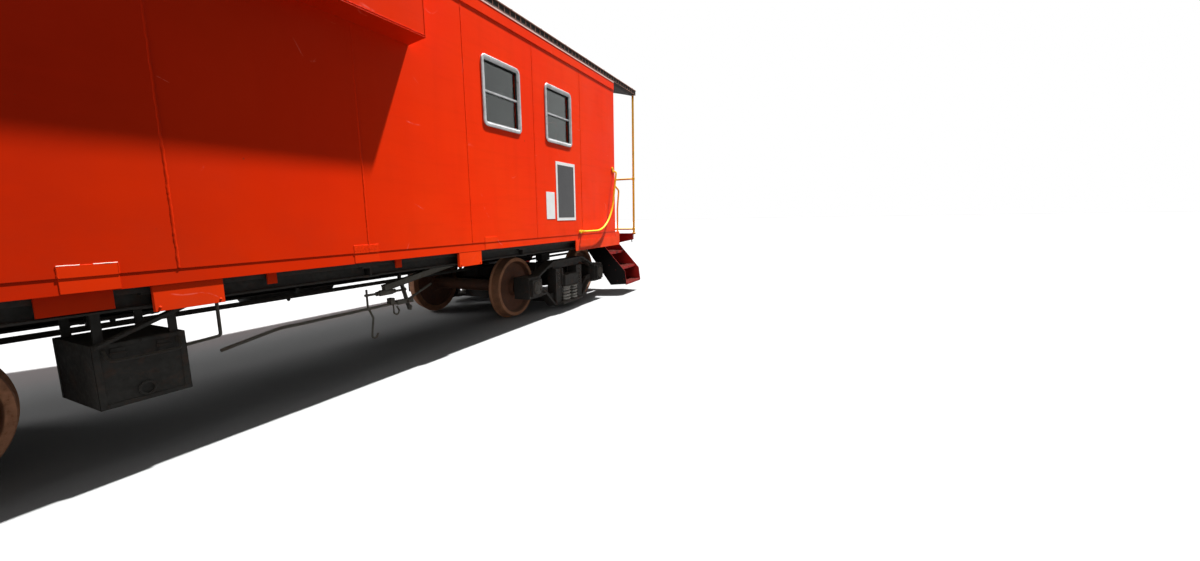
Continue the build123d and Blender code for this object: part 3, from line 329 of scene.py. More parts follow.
# A lighter copy of the truck black for its fittings: painted highlight
TRUCK_HIGHLIT_COLOURS = ((0.065, 0.060, 0.053), (0.20, 0.17, 0.13), (0.14, 0.065, 0.038))
LIP_COLOURS = ((0.200, 0.100, 0.075), (0.30, 0.17, 0.13), (0.26, 0.11, 0.07))
GRIP_COLOURS = ((0.060, 0.011, 0.008), (0.055, 0.022, 0.017), (0.070, 0.026, 0.018))
RUBBER_COLOURS = ((0.012, 0.012, 0.012), (0.05, 0.045, 0.04), (0.02, 0.018, 0.016))

# How far past a surface the lining paint may reach
PAINT_LAP = 0.002


def body_paint():
    """The orange red enamel outside, with the pale lining paint on the inner faces"""
    # The enamel carries painted shade towards the rear
    f, colour, gloss, skin = painted("body_paint", BODY_RED, shine=0.05, aged=0.85)
    across, along = f.size_of(f.y), f.size_of(f.x)
    room = f.times(
        f.sum("LESS_THAN", across, INNER_HALF + PAINT_LAP),
        f.sum("LESS_THAN", along, HALF_LENGTH - WALL + PAINT_LAP),
    )
    reach = (CUPOLA_FRONT - CUPOLA_REAR) / 2 - CUPOLA_WALL + PAINT_LAP
    from_middle = f.size_of(f.sum("SUBTRACT", f.x, CUPOLA_MIDDLE))
    lookout = f.times(
        f.sum("LESS_THAN", across, CUPOLA_HALF - CUPOLA_WALL + PAINT_LAP),
        f.sum("LESS_THAN", from_middle, reach),
        f.sum("GREATER_THAN", f.z, BAY_LOW + 0.03),
    )
    over_roof = f.times(
        f.sum("GREATER_THAN", f.z, EAVE + 0.004),
        f.sum("GREATER_THAN", from_middle, reach),
        f.sum("LESS_THAN", from_middle, reach + 0.2),
    )
    inside = f.either(f.times(room, f.sum("SUBTRACT", 1.0, over_roof)), lookout)
    lining = f.mix(f.span(f.noise(5, 5, 0.6), 0.45, 0.8, 0, 0.5), LINING[0], LINING_STAIN)
    return f.set(Base_Color=f.mix(inside, colour, lining), Roughness=gloss, Normal=skin)


def step_paint():
    """Maroon treads, with the stringers next to the truck left black"""
    # The tread tops carry painted shade along with their dirt
    f, colour, gloss, skin = painted(
        "step_paint", MAROON, dirt_top=1.1, chips=1.4, shine=0.04, trodden=0.9
    )
    black = f.sum("LESS_THAN", f.size_of(f.x), HALF_LENGTH + 0.2005)
    colour = f.mix(black, colour, BLACK_STRINGER)
    return f.set(Base_Color=colour, Roughness=gloss, Normal=skin)


def casting(name, colours, rough=0.62, grit=1.0, shine=0.15):
    """Rough cast or rolled steel with black paint long in service, rust, and settled grime on top
    faces, also a painted highlight on the frame and truck castings
    """
    base, dust_and_highlight, rust = colours
    f = Finish(name, Specular_IOR_Level=shine)
    pits = f.noise(34, 5, 0.7)
    colour = f.mix(f.span(f.noise(6, 6, 0.65), 0.3, 0.7), base, scaled(base, 1.7))
    colour = f.mix(f.times(f.span(f.noise(11, 6, 0.7), 0.52, 0.72), 0.6), colour, rust)
    worn, eased = f.edges(0.006)
    colour = f.mix(f.times(worn, f.span(pits, 0.45, 0.65), 0.6), colour, scaled(rust, 1.5))
    # Top faces take the pale colour: settled grime, and on the frame and truck castings also a
    # painted highlight
    colour = f.mix(f.times(f.upward(), f.span(pits, 0.3, 0.6), 0.7), colour, dust_and_highlight)
    height = f.sum("ADD", f.times(f.noise(160, 4, 0.6), 0.4 * grit), pits)
    return f.set(
        Base_Color=colour,
        Roughness=f.span(pits, 0.3, 0.7, rough - 0.1, rough + 0.2),
        Normal=f.relief(height, 0.0016 * grit, 0.7, eased),
    )


def glazing():
    """Grey tinted safety glass, lightly smeared"""
    f = Finish(
        "glazing",
        Base_Color=(0.62, 0.70, 0.68, 1),
        IOR=1.5,
        Transmission_Weight=1.0,
        Specular_IOR_Level=0.6,
    )
    smear = f.noise(4, 5, 0.65, stretch=(1, 1, 0.4))
    return f.set(
        Roughness=f.span(smear, 0.4, 0.8, 0.02, 0.16),
        Normal=f.relief(f.noise(1.2, 2), 0.004, 0.15),
    )


def metal_trim():
    """Dull mill finish aluminium with grime"""
    f = Finish("metal_trim", Metallic=0.55)
    brushed = f.noise(60, 4, 0.6, stretch=(1, 1, 0.1))
    colour = f.mix(f.span(f.noise(8, 5), 0.35, 0.7), (0.46, 0.47, 0.48), (0.32, 0.32, 0.32))
    colour = f.mix(f.span(f.noise(30, 4, 0.6), 0.56, 0.72, 0, 0.6), colour, (0.08, 0.07, 0.06))
    return f.set(
        Base_Color=colour,
        Roughness=f.span(brushed, 0.3, 0.7, 0.45, 0.65),
        Normal=f.relief(brushed, 0.0004, 0.4, f.edges(0.002)[1]),
    )


def wheel_finish():
    """Rusted wheel steel, its rim face brighter than the plate"""
    f = Finish("wheel_finish")
    cloud = f.noise(7, 6, 0.7)
    pits = f.noise(48, 5, 0.7)
    along = f.size_of(f.x)
    gaps = [f.size_of(f.sum("SUBTRACT", along, middle)) for middle in AXLES[:2]]
    reach = f.sum("MINIMUM", *gaps)
    rise = f.sum("SUBTRACT", f.z, AXLE_HEIGHT)
    radius = f.sum("SQRT", f.sum("ADD", f.times(reach, reach), f.times(rise, rise)))
    mottled = f.span(cloud, 0.3, 0.72)
    plate = f.mix(mottled, (0.175, 0.066, 0.032), (0.078, 0.034, 0.020))
    outer = f.mix(mottled, (0.500, 0.225, 0.115), (0.270, 0.120, 0.062))
    colour = f.mix(f.span(radius, 0.352, 0.366), plate, outer)
    colour = f.mix(f.span(pits, 0.56, 0.72, 0, 0.7), colour, (0.23, 0.090, 0.035))
    colour = f.mix(f.times(f.upward(0.3, 0.9), 0.4), colour, (0.17, 0.12, 0.08))
    worn, eased = f.edges(0.004)
    colour = f.mix(f.times(worn, f.span(pits, 0.4, 0.6), 0.7), colour, (0.32, 0.17, 0.09))
    height = f.sum("ADD", pits, f.times(cloud, 2.0))
    return f.set(
        Base_Color=colour,
        Roughness=f.span(pits, 0.3, 0.7, 0.6, 0.9),
        Metallic=f.span(cloud, 0.3, 0.7, 0.25, 0.05),
        Normal=f.relief(height, 0.0014, 0.7, eased),
    )


def cloth_finish(name, base, thread):
    """Worn woven cover"""
    f = Finish(name, Sheen_Weight=0.3)
    inputs = {"Vector": f.place, "Scale": 90.0}
    threads = [f.step("TexWave", inputs, 1, bands_direction=way) for way in ("X", "Y")]
    weave = f.times(*threads)
    worn = f.noise(6, 5)
    colour = f.mix(f.span(worn, 0.4, 0.75), base, thread)
    colour = f.mix(f.times(weave, 0.25), colour, scaled(thread, 1.6))
    return f.set(
        Base_Color=colour,
        Roughness=f.span(worn, 0.3, 0.7, 0.75, 0.95),
        Normal=f.relief(weave, 0.0008, 0.6),
    )


def sign_finish(name, base, soil, rough=0.4, soiled=0.35):
    """Sheet metal sign paint, chalked and lightly soiled"""
    f = Finish(name)
    fine = f.noise(70, 4, 0.6)
    colour = f.mix(f.span(f.noise(9, 5, 0.6), 0.45, 0.8, 0, soiled), base, soil)
    worn, eased = f.edges(0.002)
    colour = f.mix(f.times(worn, 0.5), colour, (0.25, 0.10, 0.05))
    return f.set(
        Base_Color=colour,
        Roughness=f.span(fine, 0.3, 0.7, rough - 0.06, rough + 0.1),
        Normal=f.relief(fine, 0.0003, 0.4, eased),
    )


FINISHES = {
    "red_body": body_paint(),
    # These plates carry painted shade towards the rear
    "orange_red_plate": enamel(
        "orange_plate", PLATE_RED, dirt_top=1.2, edge=0.003, shine=0.05, aged=0.55
    ),
    # Tread and deck tops carry painted shade along with their dirt
    "dark_red_paint": enamel(
        "maroon_paint", MAROON, dirt_top=1.1, chips=1.4, shine=0.05, trodden=0.85
    ),
    "black_roof": casting("roof_tar_paint", TAR, 0.75, 0.6),
    "black_frame": casting("frame_black", FRAME_BLACK),
    "yellow_paint": enamel("amber_paint", AMBER, rough=0.36, edge=0.002, wear=0.08),
    "aluminium_trim": metal_trim(),
    "glass": glazing(),
    "truck_casting": casting("truck_black", TRUCK_BLACK),
    # The springs' grey stands in for their highlights: painted highlight
    "spring_steel": casting("spring_painted_highlight", SPRING_HIGHLIGHT_GREY, 0.5),
    "wheel_steel": wheel_finish(),
    "cast_iron": casting("stove_iron", STOVE_BLACK, 0.5),
    "grey_interior": enamel("lining_paint", LINING, dirt_top=1.6),
    "seat_cover": cloth_finish("seat_cloth", (0.050, 0.028, 0.018), (0.085, 0.055, 0.038)),
}
SIGN_WHITE = sign_finish("sign_white", (0.82, 0.82, 0.81), (0.50, 0.48, 0.43), soiled=0.2)
SIGN_BLACK = sign_finish("sign_black", (0.009, 0.009, 0.011), (0.030, 0.030, 0.032), 0.32)
# A pale pinkish finish that paints the highlight of the eave edge and of the first patch's welds
EAVE_HIGHLIGHT = sign_finish("eave_painted_highlight", (0.78, 0.52, 0.46), (0.50, 0.16, 0.10), 0.5)
# Rods and adjuster in pale grey, a painted highlight on them
ROD_HIGHLIGHT_GREY = casting("rod_painted_highlight", ROD_HIGHLIGHT_COLOURS, 0.6, 0.6)
# Truck fittings in a lighter copy of the truck black, as painted highlight
TRUCK_HIGHLIT = casting("truck_painted_highlight", TRUCK_HIGHLIT_COLOURS, 0.55, 0.7)
ROOF_LIP = casting("roof_lip_rust", LIP_COLOURS, 0.7, 0.5)
GRIP_DUST = casting("worn_tread", GRIP_COLOURS, 0.8, 0.5, 0.03)
RUBBER = casting("seal_rubber", RUBBER_COLOURS, 0.75, 0.4)
STEP_PAINT = step_paint()
TICKING = cloth_finish("ticking_cloth", (0.30, 0.28, 0.24), (0.16, 0.18, 0.22))
for row in frame["record"]["subparts"]:
    node = frame["nodes"][row["node"]]
    finish = STEP_PAINT if row["node"].startswith("steps") else FINISHES[row["material_slot"]]
    node.data.materials.clear()
    node.data.materials.append(finish)


# Making of shapes
def piece(name, slot, build, *values, body="car_body", finish=None, smooth=34):
    """A named piece, filled by a function that takes the values, that rides on a body"""
    work = bmesh.new()
    build(work, *values)
    bmesh.ops.recalc_face_normals(work, faces=work.faces)
    mesh = bpy.data.meshes.new(name)
    work.to_mesh(mesh)
    work.free()
    mesh.polygons.foreach_set("use_smooth", [True] * len(mesh.polygons))
    mesh.set_sharp_from_angle(angle=math.radians(smooth))
    mesh.materials.append(finish or FINISHES[slot])
    thing = bpy.data.objects.new(name, mesh)
    scene.collection.objects.link(thing)
    thing.modifiers.new("ease", "WEIGHTED_NORMAL").keep_sharp = True
    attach(thing, body)
    return thing


def around(middle, half):
    """Two coordinates either side of a middle"""
    return middle - half, middle + half


def between(face, way, low, high):
    """Two coordinates, measured from a face in the direction that it looks"""
    return face + way * low, face + way * high


def inset(pair, gap):
    """Two coordinates moved towards each other"""
    return pair[0] + gap, pair[1] - gap


def ease(work, verts, edge):
    """Rounds the edges of a block that was just made"""
    if edge:
        rims = list(dict.fromkeys(rim for vert in verts for rim in vert.link_edges))
        bmesh.ops.bevel(work, geom=rims, offset=edge, segments=2, profile=0.6, affect="EDGES")


def block(work, x, y, z, edge=0.0):
    """A block between pairs of coordinates, with eased edges"""
    verts = bmesh.ops.create_cube(work, size=1)["verts"]
    for vert in verts:
        spans = zip((x, y, z), vert.co)
        vert.co = [max(pair) if share > 0 else min(pair) for pair, share in spans]
    ease(work, verts, edge)


def beam(work, start, end, width, height, edge=0.0, upward=UP):
    """A rectangular bar between two points"""
    start, end = Vector(start), Vector(end)
    along = (end - start).normalized()
    side = along.cross(Vector(upward)).normalized()
    top = side.cross(along)
    verts = bmesh.ops.create_cube(work, size=1)["verts"]
    for vert in verts:
        u, v, w = vert.co
        middle = (start + end) / 2 + along * u * (end - start).length
        vert.co = middle + side * v * width + top * w * height
    ease(work, verts, edge)


def skin(work, rings, closed=False):
    """Faces between rings of vertices, where a ring of one vertex is a point"""
    pairs = list(zip(rings, rings[1:]))
    if closed:
        pairs.append((rings[-1], rings[0]))
    for first, second in pairs:
        count = max(len(first), len(second))
        if count == 1:
            continue
        for k in range(count):
            j = (k + 1) % count
            corners = [first[k % len(first)], first[j % len(first)]]
            corners += [second[j % len(second)], second[k % len(second)]]
            work.faces.new(list(dict.fromkeys(corners)))
    if not closed:
        for loop in (rings[0], rings[-1]):
            if len(loop) > 2:
                work.faces.new(loop)


def circle(work, middle, side, other, radius, sides):
    """A ring of vertices, or a single vertex where there is no radius"""
    turns = [2 * math.pi * k / sides for k in range(sides if radius > 1e-6 else 1)]
    arms = [radius * (side * math.cos(turn) + other * math.sin(turn)) for turn in turns]
    return [work.verts.new(middle + arm) for arm in arms]


def lathe(work, profile, centre, axis, sides=32, closed=False):
    """A turned form of points given as distance along the axis and radius"""
    centre, axis = Vector(centre), Vector(axis).normalized()
    side = axis.orthogonal().normalized()
    other = axis.cross(side)
    rings = [
        circle(work, centre + axis * along, side, other, radius, sides)
        for along, radius in profile
    ]
    skin(work, rings, closed)


def band(work, low, high, inner, outer, centre, axis, sides):
    """A hoop between two distances along its axis and two radii"""
    section = [(low, inner), (low, outer), (high, outer), (high, inner)]
    lathe(work, section, centre, axis, sides, closed=True)


def bent(points, bends, step=9.0):
    """Points along straight runs joined by round bends, step degrees apart"""
    points = [Vector(point) for point in points]
    route = [points[0]]
    for index in range(1, len(points) - 1):
        here = points[index]
        back = (points[index - 1] - here).normalized()
        ahead = (points[index + 1] - here).normalized()
        radius = bends[index - 1] if isinstance(bends, (list, tuple)) else bends
        inner = back.angle(ahead)
        turn = math.pi - inner
        if turn < 0.01:
            continue
        reach = radius * math.tan(turn / 2)
        centre = here + (back + ahead).normalized() * (radius / math.sin(inner / 2))
        arm = here + back * reach - centre
        axis = arm.cross(here + ahead * reach - centre).normalized()
        count = max(2, math.ceil(math.degrees(turn) / step))
        turns = [Matrix.Rotation(turn * k / count, 3, axis) for k in range(count + 1)]
        route += [centre + turned @ arm for turned in turns]
    route.append(points[-1])
    return route


def tube(work, route, radius, sides=12):
    """A round bar along a route, with eased ends"""
    route = [Vector(point) for point in route]
    last = len(route) - 1
    side = (route[1] - route[0]).orthogonal().normalized()
    rings = []
    for k, point in enumerate(route):
        ahead = route[min(k + 1, last)] - point
        behind = point - route[max(k - 1, 0)]
        along = (ahead.normalized() + behind.normalized()).normalized()
        side = (side - along * side.dot(along)).normalized()
        other = along.cross(side)
        spots = [(point, radius)]
        if k == 0:
            spots.insert(0, (point - along * radius * 0.25, radius * 0.75))
        if k == last:
            spots.append((point + along * radius * 0.25, radius * 0.75))
        rings += [circle(work, middle, side, other, size, sides) for middle, size in spots]
    skin(work, rings)


def pipe(work, points, bends, radius, sides, step=9.0):
    """A round bar with bends"""
    tube(work, bent(points, bends, step), radius, sides)


def slab(work, outline, origin, u, v, thickness, edge=0.0):
    """A plate with an outline given in u and v, thick along u cross v"""
    origin, u, v = Vector(origin), Vector(u), Vector(v)
    deep = u.cross(v) * thickness
    rings = [
        [work.verts.new(origin + u * a + v * b + lift) for a, b in outline]
        for lift in (Vector((0, 0, 0)), deep)
    ]
    before = len(work.faces)
    skin(work, rings)
    if edge:
        work.faces.ensure_lookup_table()
        rims = list(dict.fromkeys(rim for face in work.faces[before:] for rim in face.edges))
        bmesh.ops.bevel(work, geom=rims, offset=edge, segments=1, affect="EDGES")


def bolt(work, place, axis, radius=0.011):
    """A hexagon head on a washer"""
    r = radius
    lathe(work, [(0, 0), (0, r * 1.6), (r * 0.3, r * 1.5), (r * 0.3, 0)], place, axis, 14)
    head = [(0, 0), (0, r), (r, r), (r * 1.2, r * 0.8), (r * 1.2, 0)]
    lathe(work, head, place, axis, 6)


def rivet(work, place, axis, radius=0.010):
    """A low domed head"""
    dome = [(0, 0), (0, 1), (0.35, 0.85), (0.6, 0.45), (0.68, 0)]
    lathe(work, [(radius * a, radius * b) for a, b in dome], place, axis, 10)


def weld(work, start, end, outward, width, height, chance, pitch=0.014):
    """An uneven bead along a line on a face"""
    start, end, outward = Vector(start), Vector(end), Vector(outward)
    across = (end - start).normalized().cross(outward)
    count = max(2, int((end - start).length / pitch))
    rings = []
    for k in range(count + 1):
        middle = start.lerp(end, k / count) + across * (chance.random() - 0.5) * width * 0.3
        wide = width * (0.42 + 0.16 * chance.random())
        high = height * (0.75 + 0.5 * chance.random()) * 0.8
        half = [(-wide, -0.002), (-wide, 0.0002), (-wide * 0.5, high)]
        section = half + [(-a, b) for a, b in reversed(half)]
        rings.append([work.verts.new(middle + across * a + outward * b) for a, b in section])
    skin(work, rings)


def rounded(width, height, corner, steps=5):
    """Outline of a rectangle with round corners about the origin"""
    outline = []
    for quarter in range(4):
        sx = 1 if quarter in (0, 3) else -1
        sy = 1 if quarter in (0, 1) else -1
        for k in range(steps + 1):
            turn = math.pi / 2 * (quarter + k / steps)
            x = sx * (width / 2 - corner) + corner * math.cos(turn)
            y = sy * (height / 2 - corner) + corner * math.sin(turn)
            outline.append((x, y))
    return outline


def ring(work, origin, u, width, height, corner, section):
    """A frame round an upright opening, its section as outset from the opening and lift"""
    origin, u = Vector(origin), Vector(u)
    outward = u.cross(UP)
    loops = []
    for outset, lift in section:
        outline = rounded(width + 2 * outset, height + 2 * outset, max(0.003, corner + outset))
        loops.append([work.verts.new(origin + u * a + UP * b + outward * lift) for a, b in outline])
    skin(work, loops, closed=True)


def every(first, last, pitch):
    """Places from a first one on, a pitch apart, short of a last one"""
    while first < last:
        yield first
        first += pitch


# Side sheets: butt welds between them, patches over the ledge, and plates below the sill
SHEET_LOW = up(1.119)
SHEET_PITCH = 1.219

# Direction out of the right side
RIGHT = (0, -1, 0)

# Patches on the right side as rear end, front end and top
PATCHES = [
    (from_front(6.557), from_front(6.342), up(1.177)),
    (from_front(5.005), from_front(4.786), up(1.180)),
    (from_front(3.462), from_front(3.260), up(1.175)),
]

# Face plates on two of the plates below the sill as rear end, front end, low edge and how
# far they are set back
DOUBLERS = [
    (from_front(6.220), from_front(5.888), up(0.891), 0.010),
    (from_front(3.860), from_front(3.525), up(0.892), 0.004),
]


def sheet_seams(work, side):
    """Weld beads between the side sheets of one side"""
    chance = random.Random(11 + side)
    seam = from_front(SHEET_PITCH)
    face = side * HALF_WIDTH
    while seam > -HALF_LENGTH + 0.3:
        top = BAY_LOW - 0.004 if CUPOLA_REAR < seam < CUPOLA_FRONT else EAVE - 0.16
        head = (seam + (chance.random() - 0.5) * 0.006, face, top)
        weld(work, (seam, face, SHEET_LOW + 0.004), head, (0, side, 0), 0.014, 0.0032, chance)
        seam -= SHEET_PITCH


def sheet_patches(work):
    """Thin plates over the ledge, on the sheet and on the strip below, with welded ends"""
    chance = random.Random(23)
    for x0, x1, high in PATCHES:
        on_sheet = (-HALF_WIDTH, SHEET_LOW - 0.002, high)
        on_strip = (-HALF_WIDTH + STRIP_BACK, SILL_LOW + 0.004, SHEET_LOW - 0.001)
        for face, foot, top in (on_sheet, on_strip):
            block(work, (x0, x1), between(face, -1, -0.001, 0.0025), (foot, top), 0.001)
        for x in (x0, x1):
            foot, top = ((x, -HALF_WIDTH, z) for z in (SHEET_LOW, high))
            weld(work, foot, top, RIGHT, 0.006, 0.0032, chance)


def patch_welds(work):
    """Welds along the top edge of the first patch, in the pale finish that paints their highlight
    """
    chance = random.Random(29)
    x0, x1, high = PATCHES[0]
    third = (x1 - x0) / 3
    for span in ((x0, x0 + third * 1.1), (x1 - third * 1.25, x1)):
        start, end = ((x, -HALF_WIDTH, high) for x in span)
        weld(work, start, end, RIGHT, 0.005, 0.0035, chance)


def patch_marks(work):
    """Grinding marks across the second patch, and a weld along the top of each patch"""
    chance = random.Random(37)
    face = -HALF_WIDTH - 0.0020
    x0, x1 = PATCHES[1][:2]
    for x in every(x0 + 0.008, x1 - 0.024, 0.014):
        foot = SHEET_LOW + 0.012 + 0.010 * chance.random()
        head = (x + 0.012, face, foot + (0.026 + 0.016 * chance.random()))
        weld(work, (x, face, foot), head, RIGHT, 0.004, 0.0022, chance, 0.01)
    for x0, x1, high in PATCHES:
        start, end = ((x, -HALF_WIDTH, high - 0.003) for x in (x0, x1))
        weld(work, start, end, RIGHT, 0.006, 0.0028, chance)


def plate_doublers(work):
    """Face plates welded on two of the plates below the sill, on both sides"""
    for side in (-1, 1):
        for x0, x1, low, depth in DOUBLERS:
            face = side * (HALF_WIDTH - depth)
            x_span = inset((x0, x1), 0.001)
            y_span = (side * (HALF_WIDTH - 0.0185), face)
            block(work, x_span, y_span, inset((low, SILL_LOW), 0.001), 0.0015)
            for x in inset(x_span, 0.022):
                rivet(work, (x, face, low + 0.024), (0, side, 0), 0.007)


def bay_trim(work):
    """Beads along the edges of the cupola bays"""
    chance = random.Random(31)
    low = BAY_LOW + 0.025
    for side in (-1, 1):
        inner, outer = side * (HALF_WIDTH + 0.004), side * CUPOLA_HALF
        start, end = ((x, inner, BAY_LOW) for x in (CUPOLA_REAR, CUPOLA_FRONT))
        weld(work, start, end, (0, side * 0.7, -0.7), 0.008, 0.003, chance)
        y_span = (outer, outer + side * 0.003)
        for z_span in ((low, low + 0.004), (low + 0.016, low + 0.019)):
            block(work, (CUPOLA_REAR, CUPOLA_FRONT), y_span, z_span, 0.001)
        for x in inset((CUPOLA_REAR, CUPOLA_FRONT), 0.003):
            block(work, around(x, 0.003), y_span, (low, CUPOLA_EAVE), 0.001)
        start, end = ((CUPOLA_MIDDLE, outer, z) for z in (low + 0.02, CUPOLA_EAVE - 0.002))
        weld(work, start, end, (0, side, 0), 0.009, 0.002, chance)


# Roof edges: the painted highlight under them, the rolled lip, ribs and standing seams
LIP_TOP = EAVE + ROOF_EDGE
RIB_PITCH = 0.1016
SEAM_PITCH = 0.610


def arch(y, half, edge, crown):
    """Height at y of a roof that rises in an arc from its edge to its crown"""
    rise = crown - edge
    radius = (half**2 + rise**2) / (2 * rise)
    return crown - radius + math.sqrt(radius**2 - y**2)


def roof_height(y):
    """Outer face of the body roof at y"""
    return arch(y, ROOF_HALF, LIP_TOP, ROOF_CROWN)


def standing_seam(work, x, half, edge, crown, deep):
    """A raised seam across an arched roof"""
    ys = [half * k / 12 for k in range(-12, 13)]
    spots = [Vector((x, y, arch(y, half, edge, crown))) for y in ys]
    for start, end in zip(spots, spots[1:]):
        beam(work, start, end + (end - start) * 0.02, 0.016, deep)


def eave_trim(work, side):
    """Pale strip along the top edge of the letterboard, just under the roof: a painted highlight of
    that edge
    """
    face = side * (HALF_WIDTH + LETTERBOARD_PROUD)
    for run in WALL_RUNS:
        y_span = between(face, side, -0.002, 0.0035)
        block(work, run, y_span, (EAVE - 0.018, EAVE - 0.001), 0.001)


def roof_lip(work, side):
    """Rolled lip along the top of the fascia"""
    for run in ROOF_RUNS:
        y_span = between(side * ROOF_HALF, side, -0.004, 0.010)
        block(work, run, y_span, (LIP_TOP - 0.016, LIP_TOP - 0.001), 0.004)


def roof_ribs(work, side):
    """Narrow ribs down the face of the fascia"""
    face = side * ROOF_HALF
    for x0, x1 in ROOF_RUNS:
        y_span = between(face, side, -0.002, 0.002)
        block(work, (x0, x1), y_span, (EAVE + 0.003, EAVE + 0.010), 0.0008)
        for x in every(x0 + 0.05, x1 - 0.02, RIB_PITCH):
            y_span = between(face, side, -0.002, 0.004)
            block(work, (x, x + 0.010), y_span, (EAVE + 0.010, LIP_TOP - 0.016), 0.001)


def roof_seams(work):
    """Standing seams across the body roof"""
    for run in ((CUPOLA_FRONT + 0.30, ROOF_END - 0.05), (-ROOF_END + 0.05, CUPOLA_REAR - 0.30)):
        for x in every(*run, SEAM_PITCH):
            standing_seam(work, x, ROOF_HALF, LIP_TOP, ROOF_CROWN, 0.016)


def cupola_seams(work):
    """Drip edges along the cupola roof, and its standing seams"""
    low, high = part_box("cupola_roof")
    edge = CUPOLA_EAVE + 0.055
    for side in (-1, 1):
        for out, z_span, eased in (
            (0.006, (edge - 0.016, edge - 0.002), 0.003),
            (0.004, (CUPOLA_EAVE + 0.003, CUPOLA_EAVE + 0.011), 0.002),
        ):
            y_span = between(side * high.y, side, -0.003, out)
            block(work, (low.x, high.x), y_span, z_span, eased)
    for share in (0.02, 0.26, 0.5, 0.74, 0.98):
        x = low.x + (high.x - low.x) * share
        standing_seam(work, x, high.y, edge, high.z, 0.014)


for side, word in ((-1, "right"), (1, "left")):
    piece(f"sheet_seams_{word}", "red_body", sheet_seams, side)
    piece(f"eave_painted_highlight_{word}", "orange_red_plate", eave_trim, side, finish=EAVE_HIGHLIGHT)
    piece(f"roof_lip_{word}", "black_roof", roof_lip, side, finish=ROOF_LIP)
    piece(f"roof_ribs_{word}", "black_roof", roof_ribs, side, finish=ROOF_LIP)
piece("roof_seams", "black_roof", roof_seams)
piece("cupola_roof_seams", "black_roof", cupola_seams)
piece("sheet_patches", "orange_red_plate", sheet_patches)
piece("patch_welds", "aluminium_trim", patch_welds, finish=EAVE_HIGHLIGHT)
piece("patch_marks", "orange_red_plate", patch_marks)
piece("plate_doublers", "orange_red_plate", plate_doublers)
piece("bay_trim", "red_body", bay_trim)


# Windows: extruded frames with round corners, sash bars and rubber seals
SIDE_WINDOWS = [from_front(distance) for distance in (1.829, 3.048, 7.925)]
WINDOW_CORNER = 0.030

# Openings as width, height and sill
SIDE_WINDOW = (0.610, 0.660, up(2.380))
CUPOLA_SIDE_WINDOW = (0.960, 0.400, up(3.935))
CUPOLA_END_WINDOW = (0.860, 0.330, up(3.975))
END_WINDOW = (0.430, 0.560, up(2.400))
DOOR_GLASS = (0.380, 0.520, up(2.280))

# Sections as outset from the opening and lift from the wall
FRAME_SECTION = [(0.034, -0.001), (0.034, 0.008), (0.029, 0.013), (0.006, 0.014), (0.000, 0.011)]
FRAME_SECTION += [(-0.004, 0.004), (-0.016, 0.002), (-0.018, -0.022), (-0.002, -0.024)]
FRAME_SECTION += [(-0.001, -0.001)]
SEAL_SECTION = [(-0.016, -0.0215), (-0.016, -0.006), (-0.020, -0.008), (-0.024, -0.028)]
SEAL_SECTION += [(-0.016, -0.030)]


def window_places():
    """Middle of each opening on its outer face, direction across, size, and if its bar is level"""
    rows = []
    for side in (-1, 1):
        for x in SIDE_WINDOWS:
            rows.append(((x, side * HALF_WIDTH), (-side, 0, 0), SIDE_WINDOW, True))
        for x in around(CUPOLA_MIDDLE, 0.64):
            rows.append(((x, side * CUPOLA_HALF), (-side, 0, 0), CUPOLA_SIDE_WINDOW, False))
    for x, way in ((CUPOLA_FRONT, 1), (CUPOLA_REAR, -1)):
        rows += [((x, y), (0, way, 0), CUPOLA_END_WINDOW, False) for y in (-0.8, 0.8)]
    for way in (-1, 1):
        rows.append(((way * HALF_LENGTH, -way * 0.86), (0, way, 0), END_WINDOW, True))
    return [
        (Vector((*spot, sill + height / 2)), Vector(across), width, height, level)
        for spot, across, (width, height, sill), level in rows
    ]


def window_rings(work, section):
    """A ring of one section round every window"""
    for spot, across, width, height, _ in window_places():
        ring(work, spot, across, width, height, WINDOW_CORNER, section)


def window_frames(work):
    """Frames with their meeting rails and the rivets over and under them"""
    window_rings(work, FRAME_SECTION)
    for spot, across, width, height, level in window_places():
        outward = across.cross(UP)
        deep = spot - outward * 0.018
        half = across * (width / 2 - 0.016) if level else UP * (height / 2 - 0.016)
        beam(work, deep - half, deep + half, 0.020, 0.026, 0.002, outward)
        for u in (-1, 0, 1):
            for v in (-1, 1):
                head = spot + across * u * width * 0.36 + UP * v * (height / 2 + 0.018)
                rivet(work, head + outward * 0.0135, outward, 0.005)


frames = piece("window_frames_fitted", "aluminium_trim", window_frames)
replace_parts(frames, "window_frames")
piece("window_seals", "cast_iron", window_rings, SEAL_SECTION, finish=RUBBER)


# Blank sign panels on the right side, as their spans along and up
SIGN = (from_front(1.950), from_front(1.425)), (up(1.330), up(2.120))
CARD = (from_front(2.210), from_front(2.003)), (up(1.353), up(1.706))
SIGN_BORDER = 0.042


def sign_border(work):
    """The white sheets of both panels"""
    for x_span, z_span in (SIGN, CARD):
        block(work, x_span, between(-HALF_WIDTH, -1, -0.001, 0.003), z_span, 0.001)


def sign_field(work):
    """The dark field of the larger panel"""
    x_span, z_span = (inset(pair, SIGN_BORDER) for pair in SIGN)
    block(work, x_span, between(-HALF_WIDTH, -1, 0.002, 0.0042), z_span, 0.0005)


piece("sign_border", "aluminium_trim", sign_border, finish=SIGN_WHITE)
piece("sign_field", "black_frame", sign_field, finish=SIGN_BLACK)


# Grab irons: round bars with flattened and bolted feet
GRAB_RADIUS = 0.015
GRAB_OUT = 0.058
GRAB_LOW, GRAB_HIGH = up(1.158), up(2.130)
FOOT_LEAN = 0.8

# The bar at the corner as distance past the wall and height
CORNER_GRAB = [(0.155, up(1.110)), (0.155, up(1.500)), (0.225, up(1.830)), (0.0, up(1.925))]


